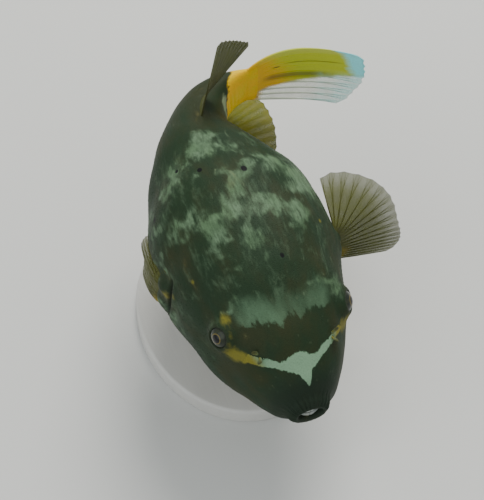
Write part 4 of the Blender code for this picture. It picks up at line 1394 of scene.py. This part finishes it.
def tail_colours(look, settings, streaks, low_colour):
    """Orange at the root, yellow-olive with dark streaks along the rays and the painted shadow of
    a fold down its middle, and a pale blue tip.
    """
    along, across = look.field("along"), look.field("across")
    place = look.place()
    cloud = look.noise(place, 150, 3.0, 0.6)
    # Noise drawn out along the rays
    lines = look.node("ShaderNodeCombineXYZ", None, {0: across * 26.0, 1: along * 1.6, 2: 0.0})
    drawn = look.noise(lines, 1.0, 4.0, 0.65)
    wander = (drawn - 0.5) * 0.5
    turned = (along - across * 0.32 + (cloud - 0.5) * 0.16 + wander * 0.2).step(0.02, 0.32)
    colour = look.blend(turned, settings.orange, settings.tail_yellow)
    margin = across.step(0.14, 0.0) * along.step(0.0, 0.3) * 0.7
    colour = look.blend(margin, colour, settings.tail_edge)
    # Painted shadow: the broad dark line down the middle of the fin stands for the shade of a
    # fold; the thin line and the faint ones are streaks along the rays
    main = 1.0 - (across - 0.505 + wander * 0.14).size() * 11.5
    thin = 1.0 - (across - 0.25 + wander * 0.06).size() * 60.0
    dark = main.bigger(0.0) * along.step(0.09, 0.22) * along.step(0.84, 0.55) * (0.85 + wander)
    dark = dark.bigger(thin.bigger(0.0) * along.step(0.25, 0.40) * along.step(0.86, 0.70) * 0.75)
    faint = drawn.step(0.60, 0.80) * along.step(0.05, 0.25) * along.step(0.85, 0.60) * 0.5
    dark = dark.bigger(faint)
    colour = look.blend(dark * streaks, colour, settings.tail_streak_and_fold_shadow)
    spot = (along - 0.24) * (along - 0.24) * 60.0 + (across - 0.29) * (across - 0.29) * 520.0
    colour = look.blend(spot.step(0.10, 0.02), colour, settings.tail_streak_and_fold_shadow)
    # Below this line the fin is clear
    line = 0.80 - 0.38 * along
    low = (across - line + (cloud - 0.5) * 0.06).step(-0.03, 0.05)
    low = low * (along + wander * 0.1).step(0.05, 0.18)
    colour = look.blend(low, colour, low_colour)
    ragged = along + (cloud - 0.5) * 0.10 + wander * 0.12
    tip = (ragged - across * 0.2).step(0.755, 0.85)
    faded = (ragged + (cloud - 0.5) * 0.4).step(0.52, 0.98)
    under = across.step(0.38, 0.56)
    tip = tip * (1.0 - under) + faded * under * 0.5
    colour = look.blend(tip, colour, settings.tail_tip)
    fine = look.noise(place, 1200, 3.0)
    colour = look.tint(colour, 0.84 + 0.32 * fine)
    clear = 1.0 - low * (0.70 - 0.15 * tip + 0.20 * (cloud - 0.5))
    return colour, clear, 0.42 + 0.22 * fine


def make_tail(settings):
    """The tail fin, whose membrane and rays share their colours, but for the clear lower part."""
    look = Look("tail membrane", Specular_IOR_Level=0.25)
    colour, clear, rough = tail_colours(look, settings, 0.85, settings.tail_low)
    membrane = look.feed(Base_Color=colour, Alpha=clear, Roughness=rough)
    look = Look("tail ray", Specular_IOR_Level=0.25)
    colour, clear, rough = tail_colours(look, settings, 0.90, settings.tail_low_ray)
    ray = look.feed(Base_Color=colour, Roughness=rough)
    make_fin("tail", tail_path(), TAIL_RAYS, TAIL_RADII, (membrane, ray), "tail_membrane",
             ("tail_fin",), start=TAIL_START, seed=5, **TAIL_SHEET)


# Stand


def upright(outline, sides, centre=(0.0, 0.0)):
    """Points and faces of an upright body: half width, half length and height of each ring."""
    around = np.linspace(0, 2 * math.pi, sides, endpoint=False)
    rings = []
    for half_width, half_length, height in outline:
        x, y = half_width * np.cos(around) + centre[0], half_length * np.sin(around) + centre[1]
        rings.append(np.stack([x, y, np.full(sides, height)], -1))
    return lathe(rings)


def make_base(settings):
    """An oval plate with a rounded upper edge and a small chamfer under it, in satin paint."""
    look = Look("stand paint", Specular_IOR_Level=0.45)
    place = look.place()
    grain = look.noise(look.stretch(place, (14.0, 1.0, 6.0)), 60, 4.0, 0.6)
    stipple = look.noise(place, 2200, 2.0)
    cloud = look.noise(place, 18, 3.0)
    colour = look.blend(cloud.step(0.3, 0.7), settings.paint, settings.paint_dark)
    colour = look.tint(colour, 0.94 + 0.12 * grain)
    relief = look.bump(grain * 0.7 + stipple * 0.5, 0.00008)
    material = look.feed(Base_Color=colour, Roughness=0.42 + 0.2 * stipple, Normal=relief)
    profile = [(BASE_BEVEL * 3, 0.0), (BASE_CHAMFER, 0.0), (0.0, BASE_CHAMFER)]
    for turn in np.linspace(0, math.pi / 2, 9):
        inset = BASE_BEVEL * (1 - math.cos(turn))
        profile.append((inset, BASE_THICKNESS - BASE_BEVEL + BASE_BEVEL * math.sin(turn)))
    profile.append((BASE_BEVEL * 3, BASE_THICKNESS))
    outline = [(BASE_WIDTH / 2 - inset, BASE_LENGTH / 2 - inset, at) for inset, at in profile]
    mesh = closed_mesh("base", *upright(outline, BASE_SIDES), material, sharp=30)
    piece(mesh, "stand_paint", "stand_base")


def make_rods(settings):
    """Two turned steel rods, each with a collar on the base and its head let into the belly."""
    look = Look("brushed steel", Metallic=1.0, Specular_IOR_Level=0.5)
    place = look.place()
    turned = look.noise(look.stretch(place, (1.0, 1.0, 30.0)), 260, 3.0, 0.6)
    smudge = look.noise(place, 90, 3.0)
    colour = look.blend(turned.step(0.3, 0.7), settings.steel, settings.steel_dark)
    rough = 0.22 + 0.16 * turned + 0.10 * smudge
    material = look.feed(Base_Color=colour, Roughness=rough, Normal=look.bump(turned, 0.00003))
    for side, share in zip(("front", "rear"), ROD_SHARES):
        belly = skin(share, math.pi)
        foot = BASE_THICKNESS + GAP / 3
        top = foot + COLLAR_HEIGHT
        profile = [(COLLAR_RADIUS - COLLAR_CHAMFER, foot), (COLLAR_RADIUS, foot + COLLAR_CHAMFER)]
        for turn in np.linspace(0, math.pi / 2, 7):
            inset, drop = COLLAR_EDGE * (1 - math.cos(turn)), COLLAR_EDGE * (1 - math.sin(turn))
            profile.append((COLLAR_RADIUS - inset, top - drop))
        for turn in np.linspace(0, math.pi / 2, 7):
            out, height = ROD_FILLET * (1 - math.sin(turn)), ROD_FILLET * (1 - math.cos(turn))
            profile.append((ROD_RADIUS + out, top + height))
        profile += [(ROD_RADIUS, top + 0.004), (ROD_RADIUS, float(belly[2]) + ROD_IN_BELLY)]
        outline = [(radius, radius, height) for radius, height in profile]
        body = upright(outline, ROD_SIDES, belly[:2])
        mesh = closed_mesh(f"rod_{side}", *body, material, sharp=35)
        piece(mesh, "stand_steel", f"stand_rod_{side}")


# Stage


def make_camera():
    """The photo's view, from ahead and above."""
    forward = np.array([
        math.sin(CAMERA_TURN) * math.cos(CAMERA_ELEVATION),
        math.cos(CAMERA_TURN) * math.cos(CAMERA_ELEVATION),
        -math.sin(CAMERA_ELEVATION),
    ])
    right = np.array([math.cos(CAMERA_TURN), -math.sin(CAMERA_TURN), 0.0])
    up = np.cross(right, forward)
    data = bpy.data.cameras.new("camera")
    data.sensor_fit = "VERTICAL"
    data.sensor_height = SENSOR
    data.lens = CAMERA_FOCUS / PHOTO_SIZE[1] * SENSOR
    data.shift_x = (PHOTO_SIZE[0] / 2 - CAMERA_CENTRE[0]) / PHOTO_SIZE[1]
    data.shift_y = (CAMERA_CENTRE[1] - PHOTO_SIZE[1] / 2) / PHOTO_SIZE[1]
    camera = add_object("camera", data)
    turned = Matrix([right, up, -forward]).transposed().to_4x4()
    turned.translation = Vector(placed(CAMERA_ANCHOR, 0.0, 0.0) - forward * CAMERA_DISTANCE)
    camera.matrix_world = turned
    bpy.context.scene.camera = camera


def make_light(name, power, place, size, colour):
    """A round area light turned to the model."""
    data = bpy.data.lights.new(name, "AREA")
    data.shape = "DISK"
    data.size = size
    data.energy = power
    data.color = colour
    light = add_object(name, data)
    light.location = place
    way = Vector((0, 0, AXIS_HEIGHT)) - Vector(place)
    light.rotation_euler = way.to_track_quat("-Z", "Y").to_euler()


def make_stage(settings):
    """A plain pale floor, soft lights from above and the camera."""
    look = Look("floor", Roughness=0.9, Specular_IOR_Level=0.2)
    cloud = look.noise(look.place(), 3.0, 3.0)
    look.feed(Base_Color=look.tint(tuple(settings.floor)[:3], 0.98 + 0.04 * cloud))
    half = settings.floor_size / 2
    corners = [(-half, -half, 0), (half, -half, 0), (half, half, 0), (-half, half, 0)]
    mesh = bpy.data.meshes.new("floor")
    mesh.from_pydata(corners, [], [(0, 1, 2, 3)])
    mesh.materials.append(look.material)
    add_object("floor", mesh)
    make_light("key", settings.key, *KEY_LIGHT)
    make_light("fill", settings.fill, *FILL_LIGHT)
    world = bpy.data.worlds.new("studio")
    world.use_nodes = True
    sky = world.node_tree.nodes["Background"]
    sky.inputs["Color"].default_value = SKY
    sky.inputs["Strength"].default_value = settings.ambient
    bpy.context.scene.world = world
    make_camera()


# Settings


def colour_setting(name, description, default):
    limits = {"size": 4, "min": 0, "max": 1}
    return bpy.props.FloatVectorProperty(
        name=name, description=description, subtype="COLOR", default=(*default, 1), **limits
    )


def length_setting(name, description, default):
    return bpy.props.FloatProperty(
        name=name, description=description, default=default, unit="LENGTH", precision=5
    )


def number_setting(name, description, default, **kind):
    return bpy.props.FloatProperty(
        name=name, description=description, default=default, min=0, **kind
    )


def count_setting(name, description, default):
    return bpy.props.IntProperty(name=name, description=description, default=default, min=60)


class PufferSkin(bpy.types.PropertyGroup):
    rows: count_setting("Rows", "Rows of the skin, lips to tail", 285)
    columns: count_setting("Columns", "Columns round the body", 312)
    unevenness: length_setting("Unevenness", "Height of the skin's soft unevenness", 0.00028)
    prickle_spacing: length_setting("Prickle spacing", "Least distance between prickles", 0.0020)
    prickle_height: length_setting("Prickle height", "Height of a prickle", 0.00045)
    olive: colour_setting("Olive", "Dark ground of the skin", (0.013, 0.0285, 0.0125))
    brown: colour_setting("Brown", "Brown part of the ground", (0.023, 0.029, 0.011))
    muzzle: colour_setting("Muzzle", "Dark muzzle and lips", (0.012, 0.019, 0.013))
    mottle: colour_setting("Mottle", "Pale mottles", (0.097, 0.155, 0.09))
    mottle_green: colour_setting("Green mottle", "Greener mottles", (0.076, 0.132, 0.068))
    patch: colour_setting("Forehead", "Pale patch between the eyes", (0.072, 0.13, 0.074))
    band: colour_setting("Band", "White band over the snout", (0.168, 0.280, 0.175))
    strip: colour_setting("Strip", "Pale strip in front of the orange", (0.2, 0.25, 0.14))
    yellow: colour_setting("Yellow", "Yellow round the eyes and the band", (0.16, 0.145, 0.018))
    orange: colour_setting("Orange", "Root of the tail", (0.72, 0.41, 0.002))
    amber: colour_setting("Amber", "Yellower part of the orange", (0.65, 0.47, 0.003))
    belly: colour_setting("Belly", "Dull yellow belly", (0.15, 0.13, 0.045))
    lid: colour_setting("Lid", "Rim of the lids", (0.02, 0.026, 0.014))
    # Also the painted shade in the gill slits
    dot: colour_setting("Dots", "Black dots", (0.002, 0.003, 0.003))


class PufferHead(bpy.types.PropertyGroup):
    pupil: number_setting("Pupil", "Angle of its edge at the eye's centre", 0.27, subtype="ANGLE")
    pupil_colour: colour_setting("Pupil colour", "Pupil", (0.002, 0.003, 0.004))
    iris: colour_setting("Iris", "Dark of the iris", (0.009, 0.014, 0.012))
    iris_light: colour_setting("Iris speckle", "Speckles of the iris", (0.03, 0.036, 0.018))
    iris_edge: colour_setting("Iris edge", "Outer edge of the iris", (0.006, 0.009, 0.008))
    gold: colour_setting("Gold ring", "Thin ring round the pupil", (0.15, 0.11, 0.025))
    tooth: colour_setting("Ivory", "Beak", (0.27, 0.31, 0.31))
    tooth_dark: colour_setting("Growth lines", "Growth lines of the beak", (0.21, 0.23, 0.21))
    tooth_stain: colour_setting("Stain", "Stains of the beak", (0.22, 0.21, 0.15))


class PufferFins(bpy.types.PropertyGroup):
    pectoral: colour_setting("Pectoral", "Membrane of the pectoral fins", (0.066, 0.075, 0.01))
    pectoral_edge: colour_setting("Pectoral margin", "Their margin", (0.094, 0.103, 0.02))
    pectoral_alpha: number_setting(
        "Pectoral opacity", "Of each face of their membrane", 0.80, subtype="FACTOR", max=1
    )
    yellow_root: colour_setting("Fin root", "Yellow root of the pectoral fins", (0.2, 0.15, 0.008))
    ray: colour_setting("Rays", "Rays of the pectoral fins", (0.04, 0.041, 0.006))
    ray_tip: colour_setting("Ray tips", "Their tips", (0.078, 0.08, 0.018))
    dorsal: colour_setting("Dorsal", "Membrane of the dorsal fin", (0.056, 0.064, 0.01))
    dorsal_edge: colour_setting("Dorsal margin", "Its margin", (0.082, 0.090, 0.018))
    dorsal_front: colour_setting("Dorsal front", "Its pale first ray", (0.11, 0.12, 0.05))
    dorsal_ray: colour_setting("Dorsal rays", "Rays of the dorsal fin", (0.036, 0.038, 0.008))
    anal: colour_setting("Anal", "Membrane of the anal fin", (0.116, 0.137, 0.009))
    anal_edge: colour_setting("Anal margin", "Its margin", (0.17, 0.168, 0.011))
    anal_ray: colour_setting("Anal rays", "Its rays", (0.1, 0.108, 0.005))
    orange: colour_setting("Tail root", "Orange root of the tail fin", (0.72, 0.41, 0.002))
    tail_yellow: colour_setting("Tail", "Yellow-olive of the tail fin", (0.47, 0.53, 0.009))
    tail_edge: colour_setting("Tail margin", "Upper margin of the tail fin", (0.52, 0.57, 0.08))
    tail_low: colour_setting("Tail below", "Clear lower part of the tail fin", (0.46, 0.49, 0.38))
    tail_low_ray: colour_setting("Tail rays below", "Its rays there", (0.56, 0.6, 0.5))
    # This dark colour is also the painted shadow of the fold down the tail fin's middle, and its
    # dark spot
    tail_streak_and_fold_shadow: colour_setting("Streaks", "Dark streaks of the tail fin", (0.04, 0.038, 0.004))
    tail_tip: colour_setting("Tail tip", "Pale tip of the tail fin", (0.27, 0.80, 0.85))


class PufferStand(bpy.types.PropertyGroup):
    paint: colour_setting("Paint", "Satin paint of the base", (0.56, 0.55, 0.52))
    paint_dark: colour_setting("Paint shade", "Its darker part", (0.52, 0.51, 0.48))
    steel: colour_setting("Steel", "Rods", (0.62, 0.62, 0.63))
    steel_dark: colour_setting("Steel shade", "Turned lines of the rods", (0.48, 0.48, 0.49))


class PufferStage(bpy.types.PropertyGroup):
    floor: colour_setting("Floor", "Pale floor", (0.62, 0.62, 0.60))
    floor_size: length_setting("Floor size", "Side of the floor", 8.0)
    key: number_setting("Key light", "Power of the key light", 26.0, unit="POWER")
    fill: number_setting("Fill light", "Power of the fill light", 9.0, unit="POWER")
    ambient: number_setting("Ambient", "Strength of the light all round", 0.75)


# Operators


class PUFFER_OT_skin(bpy.types.Operator):
    """Make the skin and its markings"""

    bl_idname = "puffer.skin"
    bl_label = "Skin"

    def execute(self, context):
        make_skin(context.scene.puffer_skin)
        return {"FINISHED"}


class PUFFER_OT_prickles(bpy.types.Operator):
    """Spread the prickles over the skin"""

    bl_idname = "puffer.prickles"
    bl_label = "Prickles"

    def execute(self, context):
        make_prickles(context.scene.puffer_skin)
        return {"FINISHED"}


class PUFFER_OT_nostrils(bpy.types.Operator):
    """Make the flaps of the nostrils"""

    bl_idname = "puffer.nostrils"
    bl_label = "Nostrils"

    def execute(self, context):
        make_nostrils(context.scene.puffer_skin)
        return {"FINISHED"}


class PUFFER_OT_eyes(bpy.types.Operator):
    """Make the eyes"""

    bl_idname = "puffer.eyes"
    bl_label = "Eyes"

    def execute(self, context):
        make_eyes(context.scene.puffer_head)
        return {"FINISHED"}


class PUFFER_OT_beak(bpy.types.Operator):
    """Make the plates of the beak"""

    bl_idname = "puffer.beak"
    bl_label = "Beak"

    def execute(self, context):
        make_beak(context.scene.puffer_head)
        return {"FINISHED"}


class PUFFER_OT_pectoral_fins(bpy.types.Operator):
    """Make the pectoral fins"""

    bl_idname = "puffer.pectoral_fins"
    bl_label = "Pectoral Fins"

    def execute(self, context):
        make_pectoral_fins(context.scene.puffer_fins)
        return {"FINISHED"}


class PUFFER_OT_midline_fins(bpy.types.Operator):
    """Make the dorsal and the anal fin"""

    bl_idname = "puffer.midline_fins"
    bl_label = "Dorsal and Anal Fins"

    def execute(self, context):
        make_midline_fins(context.scene.puffer_fins)
        return {"FINISHED"}


class PUFFER_OT_tail(bpy.types.Operator):
    """Make the tail fin"""

    bl_idname = "puffer.tail"
    bl_label = "Tail Fin"

    def execute(self, context):
        make_tail(context.scene.puffer_fins)
        return {"FINISHED"}


class PUFFER_OT_stand(bpy.types.Operator):
    """Make the base and the rods of the stand"""

    bl_idname = "puffer.stand"
    bl_label = "Stand"

    def execute(self, context):
        make_base(context.scene.puffer_stand)
        make_rods(context.scene.puffer_stand)
        return {"FINISHED"}


class PUFFER_OT_stage(bpy.types.Operator):
    """Make the floor, the lights and the camera"""

    bl_idname = "puffer.stage"
    bl_label = "Stage"

    def execute(self, context):
        make_stage(context.scene.puffer_stage)
        return {"FINISHED"}


GROUPS = {
    "puffer_skin": PufferSkin,
    "puffer_head": PufferHead,
    "puffer_fins": PufferFins,
    "puffer_stand": PufferStand,
    "puffer_stage": PufferStage,
}
OPERATORS = (
    PUFFER_OT_skin,
    PUFFER_OT_prickles,
    PUFFER_OT_nostrils,
    PUFFER_OT_eyes,
    PUFFER_OT_beak,
    PUFFER_OT_pectoral_fins,
    PUFFER_OT_midline_fins,
    PUFFER_OT_tail,
    PUFFER_OT_stand,
    PUFFER_OT_stage,
)


class PUFFER_PT_panel(bpy.types.Panel):
    """Settings and buttons of the model"""

    bl_idname = "PUFFER_PT_panel"
    bl_label = "Puffer Model"
    bl_space_type = "VIEW_3D"
    bl_region_type = "UI"
    bl_category = "Puffer"

    def draw(self, context):
        for key, group in GROUPS.items():
            box = self.layout.box()
            settings = getattr(context.scene, key)
            for name in group.__annotations__:
                box.prop(settings, name)
        for operator in OPERATORS:
            self.layout.operator(operator.bl_idname)


def register():
    for group in GROUPS.values():
        bpy.utils.register_class(group)
    for operator in OPERATORS:
        bpy.utils.register_class(operator)
    bpy.utils.register_class(PUFFER_PT_panel)
    for key, group in GROUPS.items():
        setattr(bpy.types.Scene, key, bpy.props.PointerProperty(type=group))


def unregister():
    for key in GROUPS:
        delattr(bpy.types.Scene, key)
    bpy.utils.unregister_class(PUFFER_PT_panel)
    for operator in reversed(OPERATORS):
        bpy.utils.unregister_class(operator)
    for group in reversed(GROUPS.values()):
        bpy.utils.unregister_class(group)


def main():
    register()
    bpy.ops.puffer.skin()
    bpy.ops.puffer.prickles()
    bpy.ops.puffer.nostrils()
    bpy.ops.puffer.eyes()
    bpy.ops.puffer.beak()
    bpy.ops.puffer.pectoral_fins()
    bpy.ops.puffer.midline_fins()
    bpy.ops.puffer.tail()
    bpy.ops.puffer.stand()
    bpy.ops.puffer.stage()
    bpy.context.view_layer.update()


if __name__ == "__main__":
    main()
